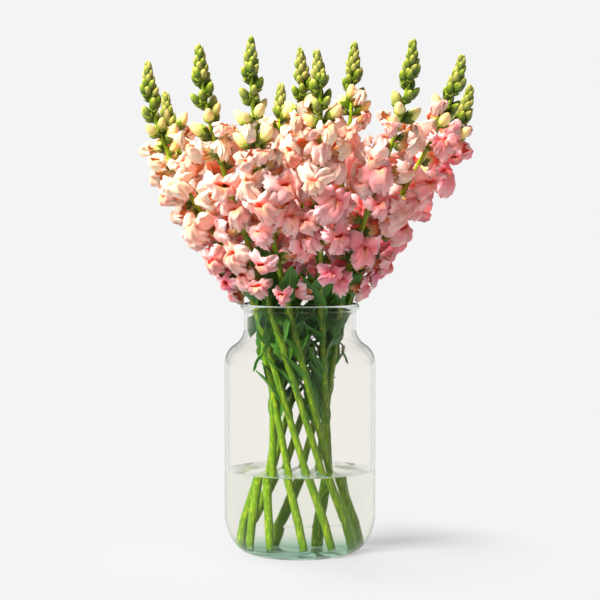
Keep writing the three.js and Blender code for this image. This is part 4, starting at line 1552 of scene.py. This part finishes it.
sweep = fresh(
    bpy.ops.mesh.primitive_circle_add, vertices=64, radius=FLOOR_SIZE, fill_type="NGON")
sweep.name = "sweep"
matt, tree, shader = new_material("pale sweep")
away = add(tree, "VectorMath", {0: own_place(tree)}, operation="LENGTH").outputs[1]
fade = ranged(tree, away, FADE_FROM, FADE_TO, NEAREST_GLOW)
lit = add(tree, "BsdfDiffuse", {"Color": FLOOR_COLOUR})
glow = add(tree, "Emission", {"Color": BACKGROUND, "Strength": 1.0})
mixed = add(tree, "MixShader", {0: fade, 1: lit.outputs[0], 2: glow.outputs[0]})
tree.links.new(mixed.outputs[0], tree.nodes["Material Output"].inputs["Surface"])
tree.nodes.remove(shader)
sweep.data.materials.append(matt)

# %% [markdown]
# ## Light
# The background is a plain light grey. What reaches the flowers from all round is dimmer
# than that, so the key light can model them: a big soft panel up on the left, a little to
# the front. A weak one low on the left opens the shadows there, and one behind makes the
# petals glow through. The first reflections see a darker room, which draws the thin dark
# lines along the edges of clear glass. Later ones see the background, and none sees a
# panel.

# %% Background
ROOM_LIGHT = 0.44
ROOM_REFLECTED = 0.08
LAST_DARK_BOUNCE = 2.5

world = bpy.data.worlds.new("studio")
world.use_nodes = True
SCENE.world = world
tree = world.node_tree
rays = add(tree, "LightPath").outputs
glossy = rays["Is Glossy Ray"]
seen = sum_of(tree, "ADD", rays["Is Camera Ray"], rays["Is Transmission Ray"])
later = sum_of(tree, "GREATER_THAN", rays["Ray Depth"], LAST_DARK_BOUNCE)
seen = sum_of(tree, "ADD", seen, sum_of(tree, "MULTIPLY", later, glossy), clamp=True)
strength = sum_of(tree, "MULTIPLY_ADD", glossy, ROOM_REFLECTED - ROOM_LIGHT, ROOM_LIGHT)
shade = blended(tree, seen, strength, BACKGROUND)
tree.links.new(shade, tree.nodes["Background"].inputs["Color"])
SCENE.view_settings.view_transform = "Standard"


# %% Panels of light
def panel(name, place, aim, size, power, colour=(1, 1, 1)):
    """A square soft light at a place, turned to what it lights."""
    light = fresh(bpy.ops.object.light_add, type="AREA", location=place)
    light.name = name
    light.rotation_euler = facing(place, aim)
    light.data.size = size
    light.data.energy = power
    light.data.color = colour
    light.visible_glossy = False
    light.visible_transmission = False


panel("key", (-1.35, -1.0, 2.1), (0, 0, 0.3), 0.8, 174, (1.0, 0.985, 0.96))
panel("side", (-1.5, -0.6, 0.55), (0, 0, 0.38), 0.8, 11, (1.0, 0.97, 0.92))
panel("back", (-0.7, 1.5, 1.4), (0, 0, 0.4), 1.0, 30)
